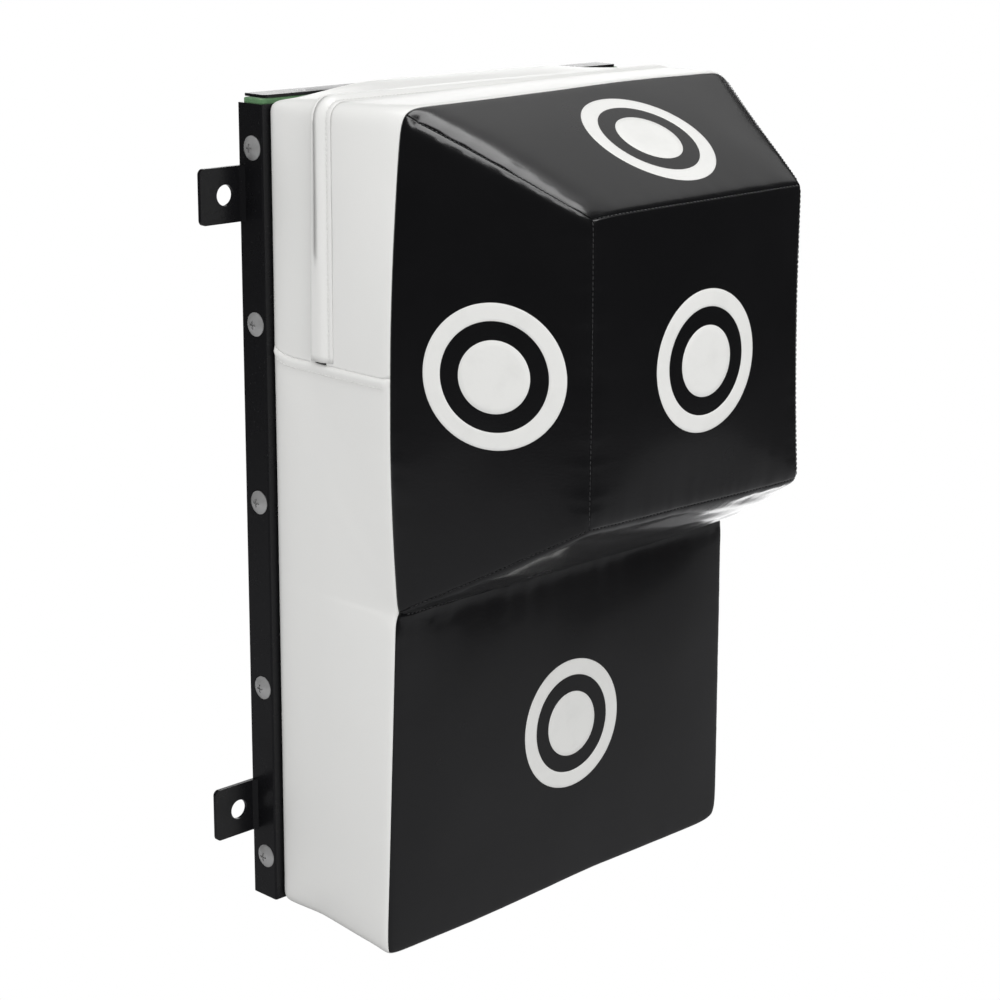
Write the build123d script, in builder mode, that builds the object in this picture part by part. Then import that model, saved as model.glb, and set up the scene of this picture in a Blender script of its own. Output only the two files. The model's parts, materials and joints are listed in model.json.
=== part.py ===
"""Wall punch pad: a padded, uppercut-shaped striking pad on a board in a steel wall frame.

Millimetres. The origin is the centre of the four wall-bolt holes, in the wall plane. +Z is up, +X is to the
right as seen by the boxer, and the pad faces -Y. "Depth" is the distance forward of the wall, and "height" is
the distance above the lower ends of the side angles.
"""

import os
from math import hypot

from build123d import *

os.makedirs("parts", exist_ok=True)

# ------------------------------------------------------------------ driving dimensions
# Steel frame
frame_height = 600.0  # length of the side angles
frame_width = 374.0  # across the outsides of the side angles
angle_depth = 25.0  # web of a side angle, from the wall forward
angle_lip = 12.0  # lip that turns in over the board's front edge
steel = 2.0  # wall of the angles and strips
angle_bend = 1.5  # outer radius of the bend between web and lip
strip_front_gap = 0.3  # front edges of the strips on the board's ends to the pad's back panel
strip_setback = 6.0  # a strip's end to the outside of the side angle
strip_corner = 3.0

# Wall lugs
lug_length = 38.0
lug_height = 40.0
lug_thickness = 3.0
lug_corner = 4.0
lug_hole_diameter = 15.0
lug_hole_from_root = 16.0
lower_lug_height = 72.0  # hole centre above the angles' lower ends
upper_lug_from_top = 64.0  # hole centre below the angles' upper ends
weld_leg = 3.0

# Screws through the side angles into the board's edges
side_screw_heights = (33.0, 168.0, 311.0, 443.0, 569.0)
side_screw_depth = 14.5
side_screw_head = 17.5
side_screw_dome = 3.6
side_screw_rim = 0.6
side_screw_shank = 4.8
side_screw_length = 30.0
recess_length = 6.4
recess_width = 1.5
recess_depth = 1.8

# Countersunk screws through the strips
strip_screw_spacing = 140.0
strip_screw_shank = 4.2
strip_screw_length = 28.0
screw_point = 4.0
steel_hole_clearance = 0.4  # on the radius, in steel and wrap
pilot_clearance = 0.05  # on the radius, in the board

# Backing board and its wrap
board_thickness = 18.0
board_rise = 4.0  # wrapped board above the side angles' upper ends
wrap = 0.8  # tarpaulin thickness
wrap_fit = 0.2  # wrap to the angle's web, each side
wrap_margin = 40.0  # wrap turned onto the back of the board
staple_crown = 10.0
staple_wire = 0.7
staple_leg = 6.0
staple_columns = 7  # staples up each side
staple_rows = 4  # staples along the top and the bottom
staple_inset = 18.0

# Padded body
pad_depth = 144.0  # wall to the front edges of the side bands
pad_corner = 12.0
lip_gap = 0.5  # neck of the pad to the lip's inner edge, each side
lip_overhang = 5.0  # the pad swells this far over each lip
lip_front_gap = 0.3  # pad to the lip's front face
cover = 1.2  # cover thickness
foam_gap = 0.2  # foam to cover
seam_height = 424.0  # lapped seam where the upper bands meet the lower band
back_corner_drop = 8.0  # the back panel's side margins stop this far below the frame's top

# Head block that stands out from the upper part of the pad
head_foot = 256.0  # root of the underside facet above the pad's bottom
head_projection = 127.2
head_face_width = 214.0
head_underside_rise = 70.0
head_top_drop = 67.0

# Printed targets
target_diameter = 102.0
target_ring_inner = 77.0
target_disc = 51.0
print_thickness = 0.3
front_target = (3.5, 429.0)  # from the pad's middle, and height
lower_target = (6.0, 126.0)
side_target = (77.5, 429.0)  # along the facet from its root, and height
top_target = (13.0, 70.5)  # from the pad's middle, and along the facet from its root

# Zip under the flap
zip_from_lip = 54.0  # centre line forward of the lips' back faces
zip_opening = 12.0  # between the two bands' edges
tape = 0.6
tape_width = 13.0
coil_width = 2.0  # each of the two coils
coil_gap = 1.2  # between the coils, room for the slider's post
coil_thickness = 1.8
slider_length = 11.0
slider_width = 8.0
slider_plate = 0.8
slider_gap = 0.25  # plate to coil
slider_flange = 0.9
slider_post = 0.8
slider_post_length = 3.0
bridge_length = 6.4
bridge_width = 1.6
bridge_bar = 0.6
pull_gap = 0.15
pull_plate = 0.7
pull_width = 5.0
pull_length = 22.0
pull_rim = 1.2
stop_length = 2.6
stop_width = 6.0
zip_end_gap = 1.0  # seam to stop, stop to coil
flap_width = 21.0
flap_clearance = 0.35
flap_foot = 4.0  # stitched edge lying on the front band
groove_clearance = 0.35

# ------------------------------------------------------------------ derived sizes
wall = Plane.XZ  # its normal points forward, away from the wall
lug_spacing_z = frame_height - lower_lug_height - upper_lug_from_top
lug_spacing_x = frame_width + 2 * lug_hole_from_root
frame_foot = -(lug_spacing_z / 2 + lower_lug_height)
lug_heights = {"lower": lower_lug_height, "upper": frame_height - upper_lug_from_top}
sides = {"left": -1, "right": 1}

lip_back = angle_depth - steel
back_panel_rear = lip_back - cover
board_front = back_panel_rear - wrap
strip_depth = back_panel_rear - strip_front_gap
board_back = board_front - board_thickness
wrapped_top = frame_height + board_rise
wrapped_width = frame_width - 2 * (steel + wrap_fit)
wrapped_height = wrapped_top - steel
strip_length = frame_width - 2 * strip_setback
board_middle_depth = (board_front + board_back) / 2

pad_width = frame_width - 2 * (angle_lip - lip_overhang)
neck_inset = lip_overhang + lip_gap
shoulder_depth = angle_depth + lip_front_gap
pad_height = wrapped_top + steel
slab_split = (lip_back + pad_depth) / 2
head_depth = pad_depth + head_projection

zip_depth = lip_back + zip_from_lip
tape_middle = cover + tape / 2
coil_half = coil_gap / 2 + coil_width
plate_outer = tape_middle - coil_thickness / 2 - slider_gap  # inner face of the slider's outer plate
plate_inner = tape_middle + coil_thickness / 2 + slider_gap
pull_inset = plate_outer - slider_plate - pull_gap
bar_inset = pull_inset - pull_plate - pull_gap
flap_inset = bar_inset - bridge_bar - flap_clearance
groove_depth = plate_inner + slider_plate + groove_clearance
groove_width = 2 * (coil_half + tape_width) + 2 * groove_clearance
stop_height = seam_height + zip_end_gap
coil_foot = stop_height + stop_length + zip_end_gap
slider_height = coil_foot + slider_length / 2 + zip_end_gap
flap_near = zip_depth - flap_width / 2 + flap_foot / 2


def at(height):
    """The Z of a height above the side angles' lower ends."""
    return frame_foot + height


pad_middle = at(pad_height / 2)


def outline(offset):
    """Width, height and corner radius of the pad's outline, grown by offset."""
    return pad_width + 2 * offset, pad_height + 2 * offset, pad_corner + offset


def finish(part, name):
    """Labels a finished piece and writes its file."""
    part.label = name
    export_step(part, f"parts/{name}.step")


# ------------------------------------------------------------------ steel frame
def side_angle(side):
    """Angle that holds one side of the board: web outside, lip over the front edge."""
    with BuildPart() as angle:
        with BuildSketch(Plane.XY.offset(frame_foot)):
            with Locations((side * (frame_width - steel) / 2, -angle_depth / 2)):
                Rectangle(steel, angle_depth)
            with Locations((side * (frame_width - angle_lip) / 2, -(lip_back + steel / 2))):
                Rectangle(angle_lip, steel)
        extrude(amount=frame_height)
        bend = angle.edges().filter_by(Axis.Z).sort_by_distance((side * frame_width / 2, -angle_depth, 0))[0]
        fillet(bend, angle_bend)
        with BuildSketch(Plane.YZ.offset(side * frame_width / 2)):
            with Locations(*[(-side_screw_depth, at(height)) for height in side_screw_heights]):
                Circle(side_screw_shank / 2 + steel_hole_clearance)
        extrude(amount=-side * steel, mode=Mode.SUBTRACT)
    return angle.part


for side_name, side in sides.items():
    finish(side_angle(side), f"{side_name}_side_angle")


def edge_strip(base, screw_face, turn):
    """Flat strip on the board's top or bottom edge, countersunk on its outer face."""
    with BuildPart() as strip:
        with BuildSketch(Plane.XY.offset(base)):
            with Locations((0, -strip_depth / 2)):
                outline_sketch = Rectangle(strip_length, strip_depth)
            fillet(outline_sketch.vertices().group_by(Axis.Y)[0], strip_corner)
        extrude(amount=steel)
        with Locations(
            *[
                Location((x, -board_middle_depth, screw_face), (turn, 0, 0))
                for x in (-strip_screw_spacing, 0, strip_screw_spacing)
            ]
        ):
            CounterSinkHole(
                radius=strip_screw_shank / 2 + steel_hole_clearance,
                counter_sink_radius=strip_screw_shank / 2 + steel + steel_hole_clearance,
                counter_sink_angle=90,
            )
    return strip.part


finish(edge_strip(at(wrapped_top), at(pad_height), 0), "top_strip")
finish(edge_strip(at(0), at(0), 180), "bottom_strip")


def wall_lug(side, height):
    """Plate welded to the angle's web, flat on the wall, with the hole for one wall bolt."""
    with BuildPart() as lug:
        with BuildSketch(wall) as plate:
            with Locations((side * (frame_width + lug_length) / 2, at(height))):
                Rectangle(lug_length, lug_height)
            outer_end = 0 if side < 0 else -1
            fillet(plate.vertices().group_by(Axis.X)[outer_end], lug_corner)
            with Locations((side * lug_spacing_x / 2, at(height))):
                Circle(lug_hole_diameter / 2, mode=Mode.SUBTRACT)
        extrude(amount=lug_thickness)
    return lug.part


for level, height in lug_heights.items():
    for side_name, side in sides.items():
        finish(wall_lug(side, height), f"wall_lug_{level}_{side_name}")

with BuildPart() as lug_welds:
    for height in lug_heights.values():
        for side in sides.values():
            root = side * frame_width / 2
            with BuildSketch(Plane.XY.offset(at(height - lug_height / 2))):
                with BuildLine():
                    Polyline(
                        (root, -lug_thickness),
                        (root + side * weld_leg, -lug_thickness),
                        (root, -lug_thickness - weld_leg),
                        close=True,
                    )
                make_face()
            extrude(amount=lug_height)
finish(lug_welds.part, "lug_welds")


# ------------------------------------------------------------------ screws
# Each screw is drawn with its head's seat at the origin and its shank along -Z.
with BuildPart() as dome_screw:
    with BuildSketch(Plane.XZ):
        with BuildLine():
            dome = TangentArc(
                (0, side_screw_dome), (side_screw_head / 2, side_screw_rim), tangent=(1, 0)
            )
            Polyline(
                dome @ 1,
                (side_screw_head / 2, 0),
                (side_screw_shank / 2, 0),
                (side_screw_shank / 2, screw_point - side_screw_length),
                (0, -side_screw_length),
                dome @ 0,
            )
        make_face()
    revolve(axis=Axis.Z)
    for turn in (0, 90):
        with Locations(Location((0, 0, side_screw_dome), (0, 0, turn))):
            Box(recess_length, recess_width, 2 * recess_depth, mode=Mode.SUBTRACT)

with BuildPart() as countersunk_screw:
    with BuildSketch(Plane.XZ):
        with BuildLine():
            Polyline(
                (0, 0),
                (strip_screw_shank / 2 + steel, 0),
                (strip_screw_shank / 2, -steel),
                (strip_screw_shank / 2, screw_point - strip_screw_length),
                (0, -strip_screw_length),
                close=True,
            )
        make_face()
    revolve(axis=Axis.Z)
    for turn in (0, 90):
        with Locations(Location((0, 0, 0), (0, 0, turn))):
            Box(strip_screw_shank, recess_width, 2 * recess_depth, mode=Mode.SUBTRACT)

for side_name, side in sides.items():
    with BuildPart() as side_screws:
        with Locations(
            *[
                Location((side * frame_width / 2, -side_screw_depth, at(height)), (0, 90 * side, 0))
                for height in side_screw_heights
            ]
        ):
            add(dome_screw.part)
    finish(side_screws.part, f"{side_name}_side_screws")

for strip_name, screw_face, turn in (("top", at(pad_height), 0), ("bottom", at(0), 180)):
    with BuildPart() as strip_screws:
        with Locations(
            *[
                Location((x, -board_middle_depth, screw_face), (turn, 0, 0))
                for x in (-strip_screw_spacing, 0, strip_screw_spacing)
            ]
        ):
            add(countersunk_screw.part)
    finish(strip_screws.part, f"{strip_name}_strip_screws")


# ------------------------------------------------------------------ backing board and wrap
def screw_cutters(clearance):
    """Cylinders that clear every screw's shank."""
    with BuildPart() as cutters:
        for side in sides.values():
            with BuildSketch(Plane.YZ.offset(side * frame_width / 2)):
                with Locations(*[(-side_screw_depth, at(height)) for height in side_screw_heights]):
                    Circle(side_screw_shank / 2 + clearance)
            extrude(amount=-side * (side_screw_length + clearance))
        for face, way in ((at(pad_height), -1), (at(0), 1)):
            with BuildSketch(Plane.XY.offset(face)):
                with Locations(
                    *[(x, -board_middle_depth) for x in (-strip_screw_spacing, 0, strip_screw_spacing)]
                ):
                    Circle(strip_screw_shank / 2 + clearance)
            extrude(amount=way * (strip_screw_length + clearance))
    return cutters.part


board_centre = at(steel + wrapped_height / 2)

with BuildPart() as backing_board:
    with BuildSketch(wall.offset(board_back)):
        with Locations((0, board_centre)):
            Rectangle(wrapped_width - 2 * wrap, wrapped_height - 2 * wrap)
    extrude(amount=board_thickness)
    add(screw_cutters(pilot_clearance), mode=Mode.SUBTRACT)
finish(backing_board.part, "backing_board")

with BuildPart() as backing_wrap:
    with BuildSketch(wall.offset(board_back - wrap)):
        with Locations((0, board_centre)):
            Rectangle(wrapped_width, wrapped_height)
    extrude(amount=board_thickness + 2 * wrap)
    with BuildSketch(wall.offset(board_back)):
        with Locations((0, board_centre)):
            Rectangle(wrapped_width - 2 * wrap, wrapped_height - 2 * wrap)
    extrude(amount=board_thickness, mode=Mode.SUBTRACT)
    with BuildSketch(wall.offset(board_back - wrap)):
        with Locations((0, board_centre)):
            Rectangle(wrapped_width - 2 * wrap_margin, wrapped_height - 2 * wrap_margin)
    extrude(amount=wrap, mode=Mode.SUBTRACT)
    add(screw_cutters(steel_hole_clearance), mode=Mode.SUBTRACT)
finish(backing_wrap.part, "backing_wrap")

# A staple has its crown along X, lying on the turned-in wrap, and its legs point forward.
with BuildPart() as staple:
    Box(staple_crown, staple_wire, staple_wire)
    with Locations(
        ((staple_crown - staple_wire) / 2, -(staple_wire + staple_leg) / 2, 0),
        ((staple_wire - staple_crown) / 2, -(staple_wire + staple_leg) / 2, 0),
    ):
        Box(staple_wire, staple_leg, staple_wire)

staple_seat = board_back - wrap - staple_wire / 2
staple_x = wrapped_width / 2 - staple_inset
staple_z = wrapped_height / 2 - staple_inset
row_step = 2 * staple_x / (staple_rows + 1)
column_step = 2 * staple_z / (staple_columns + 1)
with BuildPart() as wrap_staples:
    for side in (-1, 1):
        for index in range(staple_rows):
            x = (index + 1) * row_step - staple_x
            with Locations((x, -staple_seat, board_centre + side * staple_z)):
                add(staple.part)
        for index in range(staple_columns):
            z = (index + 1) * column_step - staple_z
            with Locations(Location((side * staple_x, -staple_seat, board_centre + z), (0, 90, 0))):
                add(staple.part)
finish(wrap_staples.part, "wrap_staples")


# ------------------------------------------------------------------ padded body
def outline_strip(outer, inner, near, far, low=0.0, high=pad_height):
    """Strip that follows the pad's outline between two insets from it (negative is outside the outline),
    two depths and two heights."""
    with BuildPart() as strip:
        with BuildSketch(wall.offset(near)):
            with Locations((0, pad_middle)):
                RectangleRounded(*outline(-outer))
                RectangleRounded(*outline(-inner), mode=Mode.SUBTRACT)
            reach = max(0.0, -outer)
            bottom = low - reach if low == 0 else low
            top = high + reach
            with Locations((0, at((bottom + top) / 2))):
                Rectangle(2 * frame_width, top - bottom, mode=Mode.INTERSECT)
        extrude(amount=far - near)
    return strip.part


def side_band(far, low, high):
    """Band from the back panel, out through the neck between the lips, over them, and forward to far."""
    with BuildPart() as band:
        add(outline_strip(neck_inset, neck_inset + cover, lip_back, shoulder_depth + cover, low, high))
        add(outline_strip(0, neck_inset + cover, shoulder_depth, shoulder_depth + cover, low, high))
        add(outline_strip(0, cover, shoulder_depth, far, low, high))
    return band.part


# The back panel's side margins lie between the lips and the wrapped board, which holds the pad.
with BuildPart() as cover_back_panel:
    with BuildSketch(wall.offset(back_panel_rear)):
        with Locations((0, pad_middle)):
            RectangleRounded(*outline(-neck_inset))
        with Locations((0, at((frame_height - back_corner_drop) / 2))):
            Rectangle(wrapped_width, frame_height - back_corner_drop)
    extrude(amount=cover)
finish(cover_back_panel.part, "cover_back_panel")

zip_groove = outline_strip(
    -cover, groove_depth, zip_depth - groove_width / 2, zip_depth + groove_width / 2, low=seam_height
)

foam_inset = cover + foam_gap
foam_rear = shoulder_depth + foam_inset
with BuildPart() as rear_foam_slab:
    for inset, near, far in (
        (neck_inset + foam_inset, lip_back, foam_rear),
        (foam_inset, foam_rear, slab_split),
    ):
        with BuildSketch(wall.offset(near)):
            with Locations((0, pad_middle)):
                RectangleRounded(*outline(-inset))
        extrude(amount=far - near)
    add(zip_groove, mode=Mode.SUBTRACT)
finish(rear_foam_slab.part, "rear_foam_slab")

with BuildPart() as front_foam_slab:
    with BuildSketch(wall.offset(slab_split)):
        with Locations((0, pad_middle)):
            RectangleRounded(*outline(-foam_inset))
    extrude(amount=pad_depth - slab_split)
    add(zip_groove, mode=Mode.SUBTRACT)
finish(front_foam_slab.part, "front_foam_slab")

finish(side_band(pad_depth, 0, seam_height), "lower_side_band")
finish(side_band(zip_depth - zip_opening / 2, seam_height, pad_height), "upper_rear_band")
finish(
    outline_strip(0, cover, zip_depth + zip_opening / 2, pad_depth, low=seam_height), "upper_front_band"
)

with BuildPart() as lower_front_panel:
    with BuildSketch(wall.offset(pad_depth)):
        with Locations((0, pad_middle)):
            RectangleRounded(*outline(0))
        with Locations((0, at(head_foot / 2))):
            Rectangle(pad_width, head_foot, mode=Mode.INTERSECT)
    extrude(amount=cover)
finish(lower_front_panel.part, "lower_front_panel")

# ------------------------------------------------------------------ head block
side_slope = (pad_width - head_face_width) / 2 / head_projection
top_slope = head_top_drop / head_projection
underside_slope = head_underside_rise / head_projection


def head_corners(inset):
    """The head block's corners with every outer face moved in by inset, keyed by ring, side and level."""
    corners = {}
    for ring, depth in (("root", pad_depth), ("face", head_depth - inset)):
        out = depth - pad_depth
        half = pad_width / 2 - side_slope * out - inset * hypot(1, side_slope)
        top = pad_height - top_slope * out - inset * hypot(1, top_slope)
        bottom = head_foot + underside_slope * out + inset * hypot(1, underside_slope)
        for side_name, side in sides.items():
            corners[ring, side_name, "top"] = Vector(side * half, -depth, at(top))
            corners[ring, side_name, "bottom"] = Vector(side * half, -depth, at(bottom))
    return corners


# Each facet's corners run anticlockwise as seen from outside.
facets = {
    "head_front_panel": (
        ("face", "left", "bottom"),
        ("face", "right", "bottom"),
        ("face", "right", "top"),
        ("face", "left", "top"),
    ),
    "head_left_panel": (
        ("root", "left", "bottom"),
        ("face", "left", "bottom"),
        ("face", "left", "top"),
        ("root", "left", "top"),
    ),
    "head_right_panel": (
        ("face", "right", "bottom"),
        ("root", "right", "bottom"),
        ("root", "right", "top"),
        ("face", "right", "top"),
    ),
    "head_top_panel": (
        ("root", "right", "top"),
        ("root", "left", "top"),
        ("face", "left", "top"),
        ("face", "right", "top"),
    ),
    "head_underside_panel": (
        ("root", "left", "bottom"),
        ("root", "right", "bottom"),
        ("face", "right", "bottom"),
        ("face", "left", "bottom"),
    ),
}
outer_corners = head_corners(0)
inner_corners = head_corners(cover)


def facet_plane(corners):
    """Plane of a facet, with its normal outward."""
    along = corners[1] - corners[0]
    across = corners[3] - corners[0]
    return Plane(origin=corners[0], x_dir=along, z_dir=along.cross(across))


def facet_sketch(plane, corners):
    """Four-cornered sketch on a plane."""
    with BuildSketch(plane) as sketch:
        with BuildLine():
            Polyline(*[plane.to_local_coords(corner) for corner in corners], close=True)
        make_face()
    return sketch.sketch


facet_planes = {}
for name, keys in facets.items():
    outer = [outer_corners[key] for key in keys]
    inner = [inner_corners[key] for key in keys]
    facet_planes[name] = facet_plane(outer)
    inner_plane = Plane(origin=inner[0], x_dir=facet_planes[name].x_dir, z_dir=facet_planes[name].z_dir)
    with BuildPart() as facet_panel:
        loft([facet_sketch(facet_planes[name], outer), facet_sketch(inner_plane, inner)], ruled=True)
    finish(facet_panel.part, name)

foam_corners = head_corners(cover + foam_gap)
foam_rings = []
for ring in ("root", "face"):
    low_left = foam_corners[ring, "left", "bottom"]
    high_right = foam_corners[ring, "right", "top"]
    with BuildSketch(wall.offset(-low_left.Y)) as foam_ring:
        with Locations((0, (low_left.Z + high_right.Z) / 2)):
            Rectangle(high_right.X - low_left.X, high_right.Z - low_left.Z)
    foam_rings.append(foam_ring.sketch)
with BuildPart() as head_foam:
    loft(foam_rings, ruled=True)
finish(head_foam.part, "head_foam")

# ------------------------------------------------------------------ printed targets
side_facet = hypot(head_projection, (pad_width - head_face_width) / 2)
top_facet = hypot(head_projection, head_top_drop)
side_reach = side_target[0] / side_facet
top_reach = top_target[1] / top_facet
side_target_x = pad_width / 2 - side_reach * (pad_width - head_face_width) / 2
side_target_y = -(pad_depth + side_reach * head_projection)

targets = {
    "front": (facet_planes["head_front_panel"], Vector(front_target[0], -head_depth, at(front_target[1]))),
    "left": (facet_planes["head_left_panel"], Vector(-side_target_x, side_target_y, at(side_target[1]))),
    "right": (facet_planes["head_right_panel"], Vector(side_target_x, side_target_y, at(side_target[1]))),
    "top": (
        facet_planes["head_top_panel"],
        Vector(
            top_target[0],
            -(pad_depth + top_reach * head_projection),
            at(pad_height - top_reach * head_top_drop),
        ),
    ),
    "lower": (
        wall.offset(pad_depth + cover),
        Vector(lower_target[0], -(pad_depth + cover), at(lower_target[1])),
    ),
}
for target_name, (plane, centre) in targets.items():
    place = plane.to_local_coords(centre)
    with BuildPart() as target_ring:
        with BuildSketch(plane):
            with Locations((place.X, place.Y)):
                Circle(target_diameter / 2)
                Circle(target_ring_inner / 2, mode=Mode.SUBTRACT)
        extrude(amount=print_thickness)
    finish(target_ring.part, f"{target_name}_target_ring")
    with BuildPart() as target_centre:
        with BuildSketch(plane):
            with Locations((place.X, place.Y)):
                Circle(target_disc / 2)
        extrude(amount=print_thickness)
    finish(target_centre.part, f"{target_name}_target_disc")

# ------------------------------------------------------------------ zip and flap
with BuildPart() as zip_tapes:
    for near in (zip_depth - coil_half - tape_width, zip_depth + coil_half):
        add(outline_strip(cover, cover + tape, near, near + tape_width, low=coil_foot))
finish(zip_tapes.part, "zip_tapes")

for coil_name, near in (("rear", zip_depth - coil_half), ("front", zip_depth + coil_gap / 2)):
    coil = outline_strip(
        tape_middle - coil_thickness / 2,
        tape_middle + coil_thickness / 2,
        near,
        near + coil_width,
        low=coil_foot,
    )
    finish(coil, f"zip_coil_{coil_name}")

with BuildPart() as zip_stops:
    for side in sides.values():
        with Locations(
            (side * (pad_width / 2 - tape_middle), -zip_depth, at(stop_height + stop_length / 2))
        ):
            Box(coil_thickness, stop_width, stop_length)
finish(zip_stops.part, "zip_stops")

with BuildPart() as zip_flap:
    flap_far = flap_near + flap_width
    flap_step = flap_far - flap_foot
    add(outline_strip(flap_inset - cover, flap_inset, flap_near, flap_step, low=seam_height))
    add(outline_strip(flap_inset - cover, 0, flap_step, flap_step + cover, low=seam_height))
    add(outline_strip(-cover, 0, flap_step + cover, flap_far, low=seam_height))
finish(zip_flap.part, "zip_flap")


def zip_box(inset_from, inset_to, depth_from, depth_to, height_from, height_to):
    """Location and size of a box on the left side's zip, from its insets, depths and heights."""
    centre = Location(
        (
            -pad_width / 2 + (inset_from + inset_to) / 2,
            -(depth_from + depth_to) / 2,
            at((height_from + height_to) / 2),
        )
    )
    return centre, (inset_to - inset_from, depth_to - depth_from, height_to - height_from)


slider_low = slider_height - slider_length / 2
slider_high = slider_height + slider_length / 2
slider_near = zip_depth - slider_width / 2
slider_far = zip_depth + slider_width / 2
flange_to_tape = tape / 2 + slider_gap
bridge_low = slider_height - bridge_length / 2
bridge_high = slider_height + bridge_length / 2
bridge_near = zip_depth - bridge_width / 2
bridge_far = zip_depth + bridge_width / 2
bridge_top = bar_inset - bridge_bar
slider_boxes = [
    zip_box(plate_outer - slider_plate, plate_outer, slider_near, slider_far, slider_low, slider_high),
    zip_box(plate_inner, plate_inner + slider_plate, slider_near, slider_far, slider_low, slider_high),
    zip_box(
        plate_outer,
        plate_inner,
        zip_depth - slider_post / 2,
        zip_depth + slider_post / 2,
        slider_high - slider_post_length,
        slider_high,
    ),
    zip_box(bridge_top, bar_inset, bridge_near, bridge_far, bridge_low, bridge_high),
]
for low, high in ((bridge_low, bridge_low + bridge_bar), (bridge_high - bridge_bar, bridge_high)):
    slider_boxes.append(zip_box(bridge_top, plate_outer - slider_plate, bridge_near, bridge_far, low, high))
for near, far in ((slider_near, slider_near + slider_flange), (slider_far - slider_flange, slider_far)):
    slider_boxes.append(
        zip_box(plate_outer, tape_middle - flange_to_tape, near, far, slider_low, slider_high)
    )
    slider_boxes.append(
        zip_box(tape_middle + flange_to_tape, plate_inner, near, far, slider_low, slider_high)
    )
with BuildPart() as zip_slider:
    for place, size in slider_boxes:
        with Locations(place):
            Box(*size)
finish(zip_slider.part, "zip_slider")

# The pull's upper rim passes under the slider's bridge, and the tab lies along the zip above it.
pull_low = slider_height - pull_rim / 2
pull_window_top = bridge_high + 2 * pull_gap
with BuildPart() as zip_pull:
    place, size = zip_box(
        pull_inset - pull_plate,
        pull_inset,
        zip_depth - pull_width / 2,
        zip_depth + pull_width / 2,
        pull_low,
        pull_low + pull_length,
    )
    with Locations(place):
        Box(*size)
    place, size = zip_box(
        pull_inset - pull_plate,
        pull_inset,
        zip_depth - pull_width / 2 + pull_rim,
        zip_depth + pull_width / 2 - pull_rim,
        pull_low + pull_rim,
        pull_window_top,
    )
    with Locations(place):
        Box(*size, mode=Mode.SUBTRACT)
finish(zip_pull.part, "zip_pull")
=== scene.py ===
"""Wall punch pad, the looks: sewn cover panels swollen over foam, printed targets, zip flap, stitches, paint.

Lengths in the shape code are millimetres in pad coordinates (x to the right, d forward of the wall, h above
the side angles' lower ends), and world() turns them into the frame's metres.
"""

import json
import math

import bmesh
import bpy
import numpy as np
from mathutils import Matrix, Vector, noise
from mathutils.bvhtree import BVHTree
from mathutils.kdtree import KDTree

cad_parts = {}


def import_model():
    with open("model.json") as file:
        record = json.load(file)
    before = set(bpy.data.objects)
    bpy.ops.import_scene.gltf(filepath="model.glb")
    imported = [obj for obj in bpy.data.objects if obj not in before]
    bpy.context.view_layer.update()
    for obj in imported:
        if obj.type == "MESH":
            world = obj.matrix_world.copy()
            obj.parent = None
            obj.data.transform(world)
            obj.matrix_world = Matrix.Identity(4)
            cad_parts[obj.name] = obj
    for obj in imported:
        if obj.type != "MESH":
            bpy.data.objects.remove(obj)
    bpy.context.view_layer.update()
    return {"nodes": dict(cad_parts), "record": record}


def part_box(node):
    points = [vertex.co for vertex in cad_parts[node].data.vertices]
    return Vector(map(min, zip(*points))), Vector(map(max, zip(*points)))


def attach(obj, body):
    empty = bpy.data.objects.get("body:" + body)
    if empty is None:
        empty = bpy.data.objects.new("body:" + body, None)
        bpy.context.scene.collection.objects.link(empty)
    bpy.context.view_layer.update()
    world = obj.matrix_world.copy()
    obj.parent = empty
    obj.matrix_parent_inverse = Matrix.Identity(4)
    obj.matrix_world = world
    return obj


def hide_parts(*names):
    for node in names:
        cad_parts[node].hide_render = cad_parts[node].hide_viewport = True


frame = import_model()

MM = 0.001


# ------------------------------------------------------------------ sizes taken from the frame
def box_mm(node):
    """A node's box in the frame, as its low and high corners in millimetres."""
    low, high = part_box(node)
    return [v / MM for v in low], [v / MM for v in high]


FOOT = box_mm("left_side_angle")[0][2]
LIP_FRONT = -box_mm("left_side_angle")[0][1]
band_low, band_high = box_mm("lower_side_band")
HALF = band_high[0]
FRONT = -band_low[1]
REAR = -band_high[1]
LAP = band_high[2] - FOOT
TOP = box_mm("upper_front_band")[1][2] - FOOT
ZIP_REAR = -box_mm("upper_rear_band")[0][1]
ZIP_FRONT = -box_mm("upper_front_band")[1][1]
WAIST = box_mm("lower_front_panel")[1][2] - FOOT
FACE = -box_mm("head_front_panel")[0][1]
COVER = 1.2
NECK_INSET = 5.5
TOP_RADIUS = 12.0
REAR_TOP_RADIUS = 5.0
BOTTOM_RADIUS = {-1: 8.0, 1: 15.0}
ROUNDING_START = 34.0


def world(points):
    """Pad coordinates (x, d, h) in millimetres to the frame's metres."""
    p = np.asarray(points, float)
    return np.stack([p[..., 0], -p[..., 1], FOOT + p[..., 2]], -1) * MM


def pad_coords(points):
    """The frame's metres to pad coordinates in millimetres."""
    p = np.asarray(points, float) / MM
    return np.stack([p[..., 0], -p[..., 1], p[..., 2] - FOOT], -1)


def smooth(t):
    """Eased step from 0 to 1 while t runs from 0 to 1."""
    t = np.clip(t, 0.0, 1.0)
    return t * t * (3 - 2 * t)


GROWTH = 1.5


def graded(length, near, far):
    """Fractions from 0 to 1 along a length. Steps grow from near at both ends to about far between them."""
    first, step = [], near
    while step < far:
        first.append(step)
        step *= GROWTH
    last = first[::-1]
    rest = length - sum(first) - sum(last)
    count = max(1, round(rest / far))
    stops = np.concatenate([[0.0], np.cumsum(first + [rest / count] * count + last)])
    return stops / stops[-1]


# ------------------------------------------------------------------ outline of the pad
SEAM_STEP, CLOTH_STEP = 2.2, 7.0
FOAM_STEP, FOAM_MOST = 8.0, 16.0


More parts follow.
